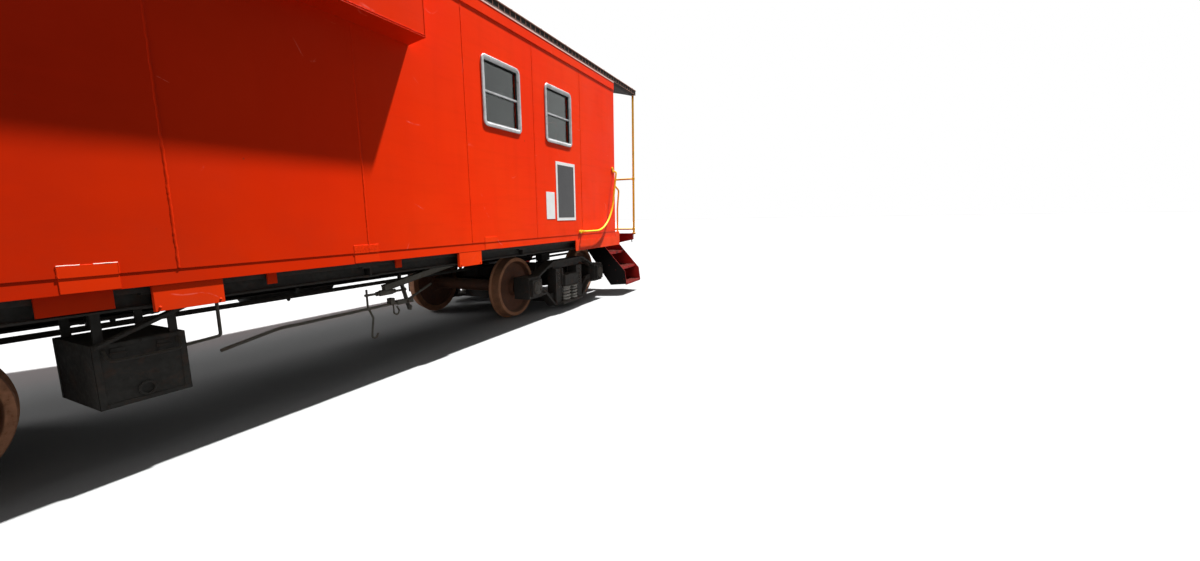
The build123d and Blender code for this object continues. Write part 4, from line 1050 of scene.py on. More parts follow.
def grab_foot(work, middle, side, along):
    """A flattened end with its bolt, past the spot where the bar meets the wall"""
    outward = Vector((0, side, 0))
    middle = middle + along * 0.034
    slab(work, rounded(0.120, 0.046, 0.021), middle, along, -along.cross(outward), 0.010, 0.002)
    bolt(work, middle + along * 0.034 + outward * 0.010, outward, 0.010)


def grab_irons(work):
    """The long bent bar at the foot of each side, and the bar round each corner"""
    for end in (-1, 1):
        foot_x, turn_x, head_x = (end * from_front(back) for back in (1.240, 0.335, 0.054))
        for side in (-1, 1):
            out = side * (HALF_WIDTH + GRAB_OUT)
            wall = side * (HALF_WIDTH + 0.004)
            points = [(foot_x, wall, GRAB_LOW), (foot_x, out, GRAB_LOW), (turn_x, out, GRAB_LOW)]
            points += [(head_x, out, GRAB_HIGH), (head_x, wall, GRAB_HIGH)]
            pipe(work, points, [0.034, 0.680, 0.040], GRAB_RADIUS, 14, 3)
            for x, z, lean in ((foot_x, GRAB_LOW, 0.0), (head_x, GRAB_HIGH, FOOT_LEAN)):
                along = Vector((-end * math.cos(lean), 0, math.sin(lean)))
                grab_foot(work, Vector((x, side * HALF_WIDTH, z)), side, along)
            y = side * (HALF_WIDTH - 0.022)
            points = [(end * (HALF_LENGTH + reach), y, z) for reach, z in CORNER_GRAB]
            pipe(work, points, [0.30, 0.05], GRAB_RADIUS, 14, 4)
            foot = [(0, 0), (0, 0.021), (0.010, 0.021), (0.014, 0.016), (0.014, 0)]
            lathe(work, foot, points[0], UP, 18)


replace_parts(piece("grab_irons_round", "yellow_paint", grab_irons), "grab_irons")


# End railings, ladders and their fastenings
POST_RADIUS, BAR_RADIUS = 0.020, 0.016
RAIL_X = SILL_END - 0.034
POST_Y = DECK_HALF - 0.022
GATE_HALF = 0.340
TOP_RAIL, LOW_RAIL = up(2.080), up(1.130)
LADDER_X = ROOF_END + 0.045
LADDER_SIDES = (0.640, 1.060)
LADDER_LOW, LADDER_TOP, LADDER_BACK = DECK_TOP - 0.062, up(4.010), 0.420
FIRST_RUNG, RUNGS, RUNG_PITCH = up(1.380), 7, 0.300


def end_railing(work, end):
    """Corner posts, gate posts and rails of one end, with collars and base plates"""
    x = end * RAIL_X
    for side in (-1, 1):
        post_y, gate_y = side * end * POST_Y, side * end * GATE_HALF
        tube(work, [(x, post_y, DECK_TOP), (x, post_y, EAVE - 0.003)], POST_RADIUS, 20)
        gate = [(x, post_y, TOP_RAIL), (x, gate_y, TOP_RAIL), (x, gate_y, DECK_TOP)]
        pipe(work, gate, 0.16, BAR_RADIUS, 14)
        tube(work, [(x, post_y, LOW_RAIL), (x, gate_y, LOW_RAIL)], BAR_RADIUS, 14)
        for z in (TOP_RAIL, LOW_RAIL):
            collar = [(-0.030, 0.020), (-0.024, 0.025), (0.024, 0.025), (0.030, 0.020)]
            lathe(work, collar, (x, post_y, z), UP, 18)
        for y in (post_y, gate_y):
            plate_top = DECK_TOP + 0.008
            block(work, around(x, 0.032), around(y, 0.032), (DECK_TOP, plate_top), 0.002)
            for bolt_x in around(x, 0.022):
                for bolt_y in around(y, 0.0245):
                    bolt(work, (bolt_x, bolt_y, plate_top), UP, 0.005)


def end_ladder(work, end):
    """Rails that bend over on to the roof, and rungs with collars"""
    x = end * LADDER_X
    back = x - end * LADDER_BACK
    sides = [end * y for y in LADDER_SIDES]
    for y in sides:
        points = [(end * (SILL_END - 0.002), y, LADDER_LOW), (x, y, LADDER_LOW)]
        points += [(x, y, LADDER_TOP), (back, y, LADDER_TOP), (back, y, roof_height(y) - 0.002)]
        pipe(work, points, [0.028, 0.150, 0.150], 0.013, 14)
        foot = [(-0.004, 0), (-0.004, 0.034), (0.006, 0.034), (0.010, 0.020), (0.010, 0)]
        lathe(work, foot, (back, y, roof_height(y)), UP, 18)
    low, high = sorted(sides)
    for rung in range(RUNGS):
        z = FIRST_RUNG + RUNG_PITCH * rung
        tube(work, [(x, low, z), (x, high, z)], 0.010, 12)
        for y in (low, high):
            collar = [(-0.008, 0.015), (-0.004, 0.0165), (0.004, 0.0165), (0.008, 0.015)]
            lathe(work, collar, (x, y, z), UP, 14)


for end, word in ((1, "front"), (-1, "rear")):
    made = piece(f"railing_{word}", "yellow_paint", end_railing, end)
    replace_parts(made, f"end_railing_{word}")
    made = piece(f"ladder_{word}", "yellow_paint", end_ladder, end)
    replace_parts(made, f"end_ladder_{word}")


# Trucks: turned wheels, wound springs, bolts and brake rods
BACK_TO_BACK, RIM_WIDTH = 1.356, 0.145
WHEEL_MIDDLE = (BACK_TO_BACK + RIM_WIDTH) / 2

# Half sections of a wheel as distance outwards and radius: back hub, plate, flange, tread, face
WHEEL_SECTION = [(-0.088, 0.084), (-0.088, 0.116), (-0.082, 0.123), (-0.050, 0.132)]
WHEEL_SECTION += [(-0.044, 0.170), (-0.048, 0.250), (-0.038, 0.322), (-0.052, 0.350)]
WHEEL_SECTION += [(-0.069, 0.357), (-0.0725, 0.364), (-0.0725, 0.430), (-0.068, 0.440)]
WHEEL_SECTION += [(-0.060, 0.4445), (-0.052, 0.4425), (-0.044, 0.432), (-0.037, 0.4215)]
WHEEL_SECTION += [(-0.028, 0.4191), (0.062, 0.4120), (0.0725, 0.4040), (0.0725, 0.362)]
WHEEL_SECTION += [(0.066, 0.356), (0.030, 0.350), (0.002, 0.336), (-0.012, 0.300)]
WHEEL_SECTION += [(-0.016, 0.240), (-0.006, 0.175), (0.018, 0.134), (0.060, 0.124)]
WHEEL_SECTION += [(0.080, 0.121), (0.088, 0.114), (0.088, 0.084)]
SPRING_LOW, SPRING_HEIGHT = up(0.100), 0.230
SPRING_WIRE = 0.0168
SPRING_MEAN = 0.070 - SPRING_WIRE
SPRING_TURNS, FLAT_TURNS = 4.9, 0.75
SPRING_PLACES = [(way * 0.110, y) for y in (-1.112, 1.112) for way in (-1, 1)]
LID_Y = 1.172
ROD_ENDS = 0.50


def wheel_pair(work, x):
    """Both wheels of a wheelset"""
    for side in (-1, 1):
        centre = (x, side * WHEEL_MIDDLE, AXLE_HEIGHT)
        lathe(work, WHEEL_SECTION, centre, (0, side, 0), 96, closed=True)


def wound_spring(work, x, y, phase):
    """One coil with its end turns lying flat"""
    count = int(SPRING_TURNS * 26)
    wire = SPRING_WIRE * 0.9
    rise = SPRING_HEIGHT - 2 * SPRING_WIRE - 2 * SPRING_WIRE * 0.9
    active = SPRING_TURNS - 2 * FLAT_TURNS
    route = []
    for k in range(count + 1):
        share = k / count
        turn = 2 * math.pi * SPRING_TURNS * share + phase
        wound = share * SPRING_TURNS
        climb = min(max(wound - FLAT_TURNS, 0), active) / active
        flat = min(wound, FLAT_TURNS) + max(wound - SPRING_TURNS + FLAT_TURNS, 0)
        z = SPRING_LOW + SPRING_WIRE + wire * flat / FLAT_TURNS + rise * climb
        route.append((x + SPRING_MEAN * math.cos(turn), y + SPRING_MEAN * math.sin(turn), z))
    tube(work, route, SPRING_WIRE, 10)


def truck_springs(work, x):
    """The four springs of a truck"""
    for index, (shift, y) in enumerate(SPRING_PLACES):
        wound_spring(work, x + shift, y, index * 1.3)


def journal_lid(work, x, side):
    """A journal cap with its bolts and the rivets round it"""
    lid = [(-0.01, 0), (-0.01, 0.090), (0.012, 0.090), (0.020, 0.080), (0.020, 0.034)]
    lid += [(0.026, 0.030), (0.026, 0)]
    lathe(work, lid, (x, side * LID_Y, AXLE_HEIGHT), (0, side, 0), 36)
    for k in range(3):
        turn = math.pi * (0.5 + 2 * k / 3)
        spot_x, spot_z = x + 0.056 * math.cos(turn), AXLE_HEIGHT + 0.056 * math.sin(turn)
        bolt(work, (spot_x, side * LID_Y + side * 0.020, spot_z), (0, side, 0), 0.013)
    for dx in (-0.125, 0.125):
        for dz in (-0.125, 0.125):
            rivet(work, (x + dx, side * 1.130, AXLE_HEIGHT + dz), (0, side, 0), 0.013)


def truck_fittings(work, x):
    """Journal caps, column bolts and spring seats of a truck"""
    for side in (-1, 1):
        for way in (-1, 1):
            journal_lid(work, x + way * WHEELBASE / 2, side)
            for z in (0.33, 0.40, 0.47, 0.54):
                bolt(work, (x + way * 0.330, side * 1.115, up(z)), (0, side, 0), 0.014)
    for shift, y in SPRING_PLACES:
        for z in (SPRING_LOW + 0.001, SPRING_LOW + SPRING_HEIGHT - 0.007):
            seat = [(0, 0), (0, 0.076), (0.006, 0.076), (0.006, 0)]
            lathe(work, seat, (x + shift, y, z), UP, 28)


def truck_rods(work, x):
    """Brake rods, levers and their pins between the beams of a truck"""
    for side in (-1, 1):
        y, z = side * 0.30, up(0.42)
        tube(work, [(x - ROD_ENDS, y, z), (x + ROD_ENDS, y, z)], 0.016, 12)
        for way in (-1, 1):
            foot, head = (x + way * ROD_ENDS, y, up(0.30)), (x + way * 0.40, y, up(0.66))
            beam(work, foot, head, 0.022, 0.060, 0.004, (0, 1, 0))
        for way in (-1, 1):
            bolt(work, (x + way * 0.47, y + side * 0.011, z), (0, side, 0), 0.016)


for number, x in enumerate(AXLES, start=1):
    body = f"wheelset_{number}"
    made = piece(f"wheels_turned_{number}", "wheel_steel", wheel_pair, x, body=body)
    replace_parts(made, f"wheels_{number}")
for x, word in zip(TRUCKS, ("front", "rear")):
    body = f"truck_{word}"
    made = piece(f"springs_wound_{word}", "spring_steel", truck_springs, x, body=body)
    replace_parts(made, f"truck_{word}_springs")
    # The fittings carry a lighter copy of the truck black, as painted highlight
    piece(
        f"truck_fittings_{word}",
        "truck_casting",
        truck_fittings,
        x,
        body=body,
        finish=TRUCK_HIGHLIT,
    )
    piece(f"truck_rods_{word}", "truck_casting", truck_rods, x, body=body)


# Under the floor: pipes, rods, hangers and straps, most of them in line with the brake rod
BRAKE_ROD_Y = -0.80

# Long pipes as height above the rail head, y and radius
LONG_PIPES = [(0.940, -1.10, 0.014), (0.900, -0.62, 0.021), (0.965, 0.70, 0.012)]
LONG_PIPES += [(0.930, 1.10, 0.014)]
BEAM_GAPS = [-4.45, -3.64, -3.26, -1.60, -0.25, 0.90, 1.90, 3.26, 3.64, 4.45]
STRINGER_Y = 1.300


def in_line(*points):
    """Points in line with the brake rod, from places along and heights above the rail head"""
    return [(x, BRAKE_ROD_Y, up(z)) for x, z in points]


def underfloor(work):
    """Brake rod, its hangers, and the pipes under the floor with their straps"""
    rod = in_line((-1.10, 0.46), (-0.70, 0.53), (0.56, 0.54))
    pipe(work, [*rod, (1.20, BRAKE_ROD_Y + 0.3, up(0.62))], 0.3, 0.013, 10)
    beam(work, *in_line((0.30, 0.71), (1.30, 0.87)), 0.045, 0.060, 0.004)
    hanger = in_line((0.11, 0.72), (0.11, 0.56), (0.16, 0.44), (0.13, 0.26))
    hanger += in_line((0.17, 0.23), (0.20, 0.28))
    pipe(work, hanger, 0.03, 0.010, 10)
    pipe(work, in_line((-1.09, 0.99), (-1.09, 0.57), (-1.33, 0.55)), 0.02, 0.011, 10)
    for height, y, radius in LONG_PIPES:
        z = up(height)
        route = [(-2.30, y, z), (-0.60, y, z), (0.90, y, z - 0.01), (2.30, y, z)]
        pipe(work, route, 1.0, radius, 10)
        for x in (-2.0, -0.9, 0.3, 1.5):
            beam(work, (x, y, z - radius), (x, y, FLOOR_LOW), 0.006, 0.030, 0.001, (0, 1, 0))


def adjuster(work):
    """Clevis, lever, turnbuckle and hook where the brake rod ends, on the right side"""
    y = BRAKE_ROD_Y
    for way in (-1, 1):
        block(work, (0.44, 0.64), around(y + way * 0.017, 0.004), (up(0.518), up(0.562)), 0.002)
    beam(work, *in_line((0.600, 0.440), (0.520, 0.720)), 0.016, 0.050, 0.004, (0, 1, 0))
    for x, z in ((0.572, 0.540), (0.535, 0.665), (0.590, 0.475)):
        bolt(work, (x, y - 0.021, up(z)), RIGHT, 0.014)
    tube(work, in_line((0.090, 0.668), (0.535, 0.660)), 0.012, 10)
    barrel = [(0, 0.011), (0, 0.022), (0.015, 0.030), (0.155, 0.030)]
    barrel += [(0.170, 0.022), (0.170, 0.011)]
    lathe(work, barrel, (0.240, y, up(0.666)), (1, 0, 0), 24, closed=True)
    for x in (0.215, 0.415):
        band(work, 0, 0.018, 0.011, 0.024, (x, y, up(0.665)), (1, 0, 0), 6)
    hook = in_line((0.400, 0.545), (0.400, 0.440), (0.445, 0.415), (0.470, 0.460), (0.440, 0.505))
    pipe(work, hook, 0.022, 0.008, 10)
    block(work, (0.350, 0.400), around(y, 0.030), (up(0.535), up(0.600)), 0.004)


def side_stringers(work):
    """Inner side stringers, seen below the sill strip"""
    for side in (-1, 1):
        face = side * STRINGER_Y
        for x0, x1 in zip(BEAM_GAPS, BEAM_GAPS[1:]):
            gap = inset((x0, x1), 0.022)
            block(work, gap, between(face, side, -0.010, 0), (up(0.925), FLOOR_LOW), 0.001)
            block(work, gap, between(face, side, -0.010, 0.050), (up(0.915), up(0.927)), 0.002)


# Rods, hangers and adjuster in pale grey: painted highlight
piece("underfloor_rods", "black_frame", underfloor, finish=ROD_HIGHLIGHT_GREY)
piece("brake_adjuster", "black_frame", adjuster, finish=ROD_HIGHLIGHT_GREY)
piece("side_stringers", "black_frame", side_stringers)


# Platforms and steps: raised lozenges on the treads and the decks, rivets through the lips
STEP_WELL = (HALF_LENGTH + 0.210, HALF_LENGTH + 0.890)
DECK_GRIP_HALF = 0.93

# Treads as inner edge, outer edge and top
TREADS = [(1.262, 1.532, up(0.200)), (1.120, 1.440, up(0.470)), (0.935, 1.205, up(0.735))]

# Rivets of the stringers as distance from the middle line and height above the rail head
STRINGER_RIVETS = [(1.02, 0.86), (1.02, 0.66), (1.20, 0.50)]
STRINGER_RIVETS += [(1.33, 0.42), (1.36, 0.22), (1.49, 0.26)]


def lozenge(work, x, y, z, lean, length=0.028, width=0.010, height=0.003):
    """A raised diamond, turned one way or the other"""
    u = Vector((math.cos(lean), math.sin(lean), 0)) * length
    v = Vector((-math.sin(lean), math.cos(lean), 0)) * width
    middle = Vector((x, y, z))
    spots = ((-0.5, 0), (0, -0.5), (0.5, 0), (0, 0.5))
    foot = [work.verts.new(middle + u * a + v * b - UP * 0.001) for a, b in spots]
    top = [work.verts.new(middle + u * a * 0.6 + v * b * 0.5 + UP * height) for a, b in spots]
    skin(work, [foot, top])


def lozenges(work, x_span, y_span, z, pitch):
    """Rows of lozenges over a tread or a deck"""
    columns = int((x_span[1] - x_span[0] - 0.04) / pitch)
    rows = int((y_span[1] - y_span[0] - 0.03) / pitch)
    for i in range(columns + 1):
        for k in range(rows + 1):
            x = (x_span[0] + x_span[1]) / 2 + (i - columns / 2) * pitch
            y = (y_span[0] + y_span[1]) / 2 + (k - rows / 2) * pitch
            lozenge(work, x, y, z, math.pi / 4 * (1 if (i + k) % 2 else -1))


def step_grips(work, end):
    """Lozenges on the treads, and rivets in their lips and in the stringers"""
    x_span = sorted(end * x for x in STEP_WELL)
    for side in (-1, 1):
        for inner, outer, top in TREADS:
            lozenges(work, x_span, sorted((side * inner, side * outer)), top, 0.036)
            for x in (x_span[0] + 0.06, sum(x_span) / 2, x_span[1] - 0.06):
                rivet(work, (x, side * outer, top - 0.024), (0, side, 0), 0.009)
        for x, way in ((x_span[0] - 0.010, -1), (x_span[1] + 0.010, 1)):
            for y, z in STRINGER_RIVETS:
                rivet(work, (x, side * y, up(z)), (way, 0, 0), 0.011)


def deck_grips(work, end):
    """Lozenges on the deck, and rivets along the end sill"""
    x_span = sorted((end * (HALF_LENGTH + 0.02), end * (RAIL_X - 0.04)))
    lozenges(work, x_span, (-DECK_GRIP_HALF, DECK_GRIP_HALF), DECK_TOP, 0.048)
    for y in (-1.25, -0.95, -0.55, -0.24, 0.24, 0.55, 0.95, 1.25):
        rivet(work, (end * SILL_END, y, DECK_TOP - 0.045), (end, 0, 0), 0.013)


# Couplers: the uncoupling lever across the end sill, pin heads, ribs and the lock lifter
LEVER_Z = up(0.962)
COUPLER_FACE, COUPLER_LEVEL = SILL_END + 0.478, up(0.876)


def uncoupling_lever(work, end):
    """A bent bar with its end ring and two brackets"""
    x = end * (SILL_END + 0.060)
    side = -end
    points = [(x, side * 1.310, up(0.870)), (x, side * 1.300, LEVER_Z), (x, side * 0.230, LEVER_Z)]
    points += [(x, side * 0.200, up(1.038)), (end * (SILL_END + 0.290), side * 0.030, up(1.040))]
    pipe(work, points, 0.035, 0.0095, 10)
    band(work, -0.008, 0.008, 0.012, 0.026, points[-1], UP, 18)
    for out in (1.20, 0.42):
        y = side * out
        for x_span, half, z_span in (
            ((end * SILL_END, x + end * 0.014), 0.010, (LEVER_Z - 0.022, LEVER_Z - 0.012)),
            ((end * SILL_END, end * (SILL_END + 0.008)), 0.028, (LEVER_Z - 0.050, LEVER_Z + 0.020)),
            ((x + end * 0.010, x + end * 0.018), 0.010, (LEVER_Z - 0.022, LEVER_Z + 0.016)),
        ):
            block(work, x_span, around(y, half), z_span, 0.002)


def coupler_details(work, end):
    """Pin heads and ribs over and under the head, side ribs of the shank, and the lock lifter"""
    face = end * COUPLER_FACE
    level = COUPLER_LEVEL
    for way in (-1, 1):
        pin = [(0, 0), (0, 0.036), (0.010, 0.034), (0.016, 0.024), (0.016, 0)]
        lathe(work, pin, (face - end * 0.105, -end * 0.092, level + way * 0.134), (0, 0, way), 24)
        for back in (0.300, 0.380, 0.460):
            x_span = between(face, -end, back - 0.008, back + 0.008)
            block(work, x_span, (-0.058, 0.058), between(level, way, 0.074, 0.081), 0.002)
    for side in (-1, 1):
        start, stop = ((x, side * 0.064, level) for x in between(face, -end, 0.55, 0.27))
        beam(work, start, stop, 0.008, 0.050, 0.003)
    y = end * 0.020
    lifter = [(0, 0), (0, 0.030), (0.030, 0.026), (0.036, 0.012), (0.036, 0)]
    lathe(work, lifter, (face - end * 0.175, y, level - 0.134), (0, 0, -1), 18)
    start, stop = (face - end * 0.215, y, level - 0.150), (face - end * 0.130, y, level - 0.158)
    beam(work, start, stop, 0.030, 0.014, 0.003)


# Doors: mouldings round the glass, lever handles and keyhole plates, on both faces
DOOR_INNER = HALF_LENGTH - WALL
DOOR_OUTER = DOOR_INNER + 0.044
HANDLE_Y, HANDLE_Z, KEY_Z = 0.275, up(2.060), up(1.985)
DOOR_MOULDING = [(0.026, -0.001), (0.026, 0.006), (0.018, 0.010), (0.003, 0.010), (-0.006, 0.004)]
DOOR_MOULDING += [(-0.006, -0.012), (-0.001, -0.012)]
HANDLE_STEM = [(0, 0), (0, 0.030), (0.006, 0.028), (0.008, 0.014), (0.030, 0.011), (0.040, 0.010)]
HANDLE_STEM += [(0.040, 0)]


def door_trim(work, end):
    """Mouldings, rivets, handle and keyhole plate on both faces of a door"""
    width, height, sill = DOOR_GLASS
    y = end * HANDLE_Y
    for x, way in ((end * DOOR_OUTER, end), (end * DOOR_INNER, -end)):
        out = (way, 0, 0)
        ring(work, (x, 0, sill + height / 2), (0, way, 0), width, height, 0.012, DOOR_MOULDING)
        for u in (-0.17, 0, 0.17):
            for v in (sill - 0.014, sill + height + 0.014):
                rivet(work, (x + way * 0.0095, u, v), out, 0.0045)
        lathe(work, HANDLE_STEM, (x, y, HANDLE_Z), out, 20)
        route = [(x + way * 0.034, y, HANDLE_Z), (x + way * 0.036, y - end * 0.050, up(2.057))]
        route += [(x + way * 0.036, y - end * 0.105, up(2.050))]
        tube(work, route, 0.0085, 10)
        key_plate = [(0, 0), (0, 0.016), (0.004, 0.015), (0.004, 0)]
        lathe(work, key_plate, (x, y, KEY_Z), out, 16)


# End walls: corner angles, door surrounds and rivets
DOOR_LOW, DOOR_HEAD = up(1.105), up(3.065)


def end_wall_trim(work, end):
    """Corner angles, door surround with its drip edge, and the door sill"""
    face = end * HALF_LENGTH
    angle, plate = face + end * 0.004, face + end * 0.010
    out = (end, 0, 0)
    for side in (-1, 1):
        y = side * HALF_WIDTH
        z_span = (DECK_TOP + 0.006, EAVE - 0.004)
        block(work, (face, angle), between(y, -side, 0.060, 0.001), z_span, 0.001)
        for z in every(DECK_TOP + 0.12, EAVE - 0.05, 0.152):
            rivet(work, (angle, y - side * 0.032, z), out, 0.008)
        block(work, (face, plate), (side * 0.335, side * 0.385), (DOOR_LOW, DOOR_HEAD), 0.002)
        for k in range(10):
            rivet(work, (plate, side * 0.360, up(1.2) + 0.2 * k), out, 0.007)
    block(work, (face, plate), (-0.385, 0.385), (DOOR_HEAD, up(3.115)), 0.002)
    block(work, (face, face + end * 0.024), (-0.420, 0.420), (up(3.118), up(3.128)), 0.002)
    for y in (-0.33, -0.165, 0, 0.165, 0.33):
        rivet(work, (plate, y, up(3.090)), out, 0.007)
    sill = between(face, end, -0.060, 0.030)
    block(work, sill, (-0.326, 0.326), (up(1.098), up(1.104)), 0.001)


# Hand brake: a round rimmed wheel with curved spokes, and bolts on its housing
BRAKE_WHEEL = Vector((-RAIL_X + 0.199, 0.720, up(1.750)))
BRAKE_RADIUS = 0.280
BRAKE_BACK = -RAIL_X + 0.016 + 0.033

# A spoke as radius, distance along the turn and distance out
SPOKE = [(0.020, 0, 0), (0.080, 0.010, 0), (0.160, 0.016, 0), (0.230, 0.010, 0), (0.276, 0, 0)]


def brake_wheel(work):
    """Rim, hub with its nut, and five curved spokes"""
    turns = [2 * math.pi * k / 12 for k in range(12)]
    rim = [(0.014 * math.cos(t), BRAKE_RADIUS + 0.0138 * math.sin(t)) for t in turns]
    lathe(work, rim, BRAKE_WHEEL, (1, 0, 0), 72, closed=True)
    hub = [(-0.034, 0), (-0.034, 0.030), (-0.030, 0.034)]
    hub += [(0.018, 0.033), (0.026, 0.026), (0.026, 0)]
    lathe(work, hub, BRAKE_WHEEL, (1, 0, 0), 28)
    bolt(work, BRAKE_WHEEL + Vector((0.0255, 0, 0)), (1, 0, 0), 0.013)
    for k in range(5):
        turn = 2 * math.pi * k / 5
        out = Vector((0, math.sin(turn), math.cos(turn)))
        along = Vector((0, math.cos(turn), -math.sin(turn)))
        route = [BRAKE_WHEEL + out * r + along * s + Vector((d, 0, 0)) for r, s, d in SPOKE]
        tube(work, route, 0.0105, 12)


def brake_fittings(work):
    """Bolts and side plates of the hand brake housing, and its chain rod"""
    middle = BRAKE_BACK + 0.055
    y, level = BRAKE_WHEEL.y, BRAKE_WHEEL.z
    for bolt_y in around(y, 0.095):
        for z in around(level, 0.140):
            bolt(work, (BRAKE_BACK + 0.1095, bolt_y, z), (1, 0, 0), 0.010)
    for side in (-1, 1):
        face, cap = between(y, side, 0.120, 0.124)
        x_span = (BRAKE_BACK + 0.012, BRAKE_BACK + 0.098)
        block(work, x_span, (face, cap), around(level, 0.150), 0.002)
        for z in around(level, 0.13):
            rivet(work, (middle, cap, z), (0, side, 0), 0.007)
    tube(work, [(middle, y, level - 0.164), (middle, y, DECK_TOP + 0.002)], 0.011, 12)
    foot = [(0, 0), (0, 0.030), (0.010, 0.028), (0.014, 0.014), (0.014, 0)]
    lathe(work, foot, (middle, y, DECK_TOP), UP, 20)


# Air tanks as middle, radius and length: dished heads, bands round them and their drains
TANKS = [(0.320, 0.800, up(0.700), 0.190, 0.880), (-1.150, 0.760, up(0.730), 0.155, 0.580)]


def tank_fittings(work):
    """Heads, bands, seams, drain and pipe of each tank"""
    for x, y, z, radius, length in TANKS:
        for way in (-1, 1):
            head = [(-0.004, 0), (-0.004, radius * 0.985), (0.012, radius * 0.95)]
            head += [(0.028, radius * 0.80), (0.038, radius * 0.50), (0.042, 0)]
            lathe(work, head, (x + way * length / 2, y, z), (way, 0, 0), 40)
            middle = (x + way * length * 0.3, y, z)
            band(work, -0.022, 0.022, radius - 0.001, radius + 0.004, middle, (1, 0, 0), 48)
            seam = [(a, radius + b) for a, b in ((-0.006, -0.001), (-0.003, 0.003))]
            seam += [(-a, b) for a, b in reversed(seam)]
            spot = (x + way * (length / 2 - 0.035), y, z)
            lathe(work, seam, spot, (1, 0, 0), 48, closed=True)
        drain = [(-0.004, 0), (-0.004, 0.020), (0.016, 0.018), (0.030, 0.008), (0.030, 0)]
        lathe(work, drain, (x, y, z - radius), (0, 0, -1), 14)
        end, turn = (x - length / 2 - gap for gap in (0.030, 0.110))
        points = [(end, y, z), (turn, y, z), (turn, y - 0.30, z + 0.02), (turn, y - 0.42, z + 0.02)]
        pipe(work, points, 0.04, 0.012, 10)


# Equipment box: corner angles, straps, hinges, a ring and rivets
BOX_X = (-1.858, -1.458)
BOX_Y = (-1.210, -0.700)
BOX_Z = (up(0.370), up(0.730))
BOX_MIDDLE = -1.66


def box_fittings(work):
    """Trim on the faces of the equipment box"""
    front = BOX_Y[0]
    for x in BOX_X:
        for y in BOX_Y:
            out_x = 1 if x == BOX_X[1] else -1
            out_y = 1 if y == BOX_Y[1] else -1
            z_span = inset(BOX_Z, 0.002)
            block(work, between(x, out_x, -0.030, 0.003), (y, y + out_y * 0.003), z_span, 0.001)
            block(work, (x, x + out_x * 0.003), between(y, out_y, -0.030, 0.003), z_span, 0.001)
    for z in (BOX_Z[0] + 0.002, BOX_Z[1] - 0.026):
        block(work, BOX_X, between(front, -1, -0.001, 0.004), (z, z + 0.024), 0.001)
    for x in (-1.76, -1.56):
        z_span = (BOX_Z[1] - 0.110, BOX_Z[1] - 0.030)
        block(work, around(x, 0.030), (front - 0.007, front), z_span, 0.002)
        pin = [(spot, front - 0.008, BOX_Z[1] - 0.060) for spot in around(x, 0.034)]
        tube(work, pin, 0.007, 10)
    middle = (BOX_MIDDLE, front - 0.010, BOX_Z[0] + 0.070)
    band(work, -0.005, 0.005, 0.030, 0.040, middle, (0, 1, 0), 24)
    for x in (BOX_X[0] + 0.03, BOX_MIDDLE, BOX_X[1] - 0.03):
        for z in inset(BOX_Z, 0.014):
            rivet(work, (x, front - 0.004, z), RIGHT, 0.007)
    for z in (0.14, 0.20, 0.26):
        for y in (-1.08, -0.96, -0.84):
            rivet(work, (BOX_X[1], y, BOX_Z[0] + z), (1, 0, 0), 0.005)


def jack_fittings(work):
    """A flashing on the roof and bands round the smoke jack and its cap"""
    low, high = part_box("smoke_jack")
    x, y, z = (low + high) / 2
    r = (high.x - low.x) / 2
    flashing = [(-0.030, r * 1.02), (-0.030, r * 1.18), (0.006, r * 1.18), (0.022, r * 0.98)]
    flashing += [(0.022, r * 0.6)]
    lathe(work, flashing, (x, y, roof_height(y)), UP, 40, closed=True)
    for drop in (0.205, 0.185):
        band(work, 0, 0.008, r * 0.60, r * 0.68, (x, y, high.z - drop), UP, 36)
    rim = [(-0.012, r - 0.004), (-0.012, r + 0.003), (0.004, r + 0.003), (0.004, r - 0.010)]
    lathe(work, rim, (x, y, high.z - 0.110), UP, 40, closed=True)


# Cupola seats: padded cushions and backs over the CAD seat blocks, on pedestals
SEAT_PAN = BAY_LOW + 0.445
SEAT_HALF = 0.240

# Seats as the way that the back is on, and the middle
SEATS = [(way, CUPOLA_MIDDLE + way * 0.78, side * 0.88) for way in (-1, 1) for side in (-1, 1)]


def cushion(work, x, y, z, buttons, puff=0.016, cuts=9):
    """A padded block that swells between its seams and dips at its buttons"""
    spans = [(min(pair), max(pair)) for pair in (x, y, z)]
    size = Vector([high - low for low, high in spans])
    middle = Vector([(high + low) / 2 for low, high in spans])
    before = len(work.verts)
    made = bmesh.ops.create_cube(work, size=1)["verts"]
    rims = list(dict.fromkeys(rim for vert in made for rim in vert.link_edges))
    bmesh.ops.subdivide_edges(work, edges=rims, cuts=cuts, use_grid_fill=True)
    work.verts.ensure_lookup_table()
    for vert in work.verts[before:]:
        u = vert.co * 2
        length = max(abs(u.x), abs(u.y), abs(u.z), 1e-6)
        soft = u.lerp(u.normalized() * length, 0.10)
        swell = 1 + puff * (1 - abs(u.x) ** 4) * (1 - abs(u.y) ** 4)
        place = Vector((soft.x * size.x / 2, soft.y * size.y / 2, soft.z * size.z / 2 * swell))
        for spot, reach in buttons:
            gap = (place - Vector(spot)).length / reach
            place -= place.normalized() * 0.010 * math.exp(-gap * gap)
        vert.co = middle + place * 0.985


def seat_covers(work):
    """A cushion and a back for each seat"""
    for way, x, y in SEATS:
        buttons = [((a, b, 0.055), 0.05) for a in (-0.11, 0.11) for b in (-0.11, 0.11)]
        y_span = around(y, SEAT_HALF)
        cushion(work, around(x, SEAT_HALF), y_span, (SEAT_PAN, SEAT_PAN + 0.110), buttons)
        back = around(x + way * 0.190, 0.050)
        buttons = [((-way * 0.05, a, b), 0.05) for a in (-0.11, 0.11) for b in (-0.10, 0.10)]
        cushion(work, back, y_span, (SEAT_PAN + 0.110, SEAT_PAN + 0.590), buttons)


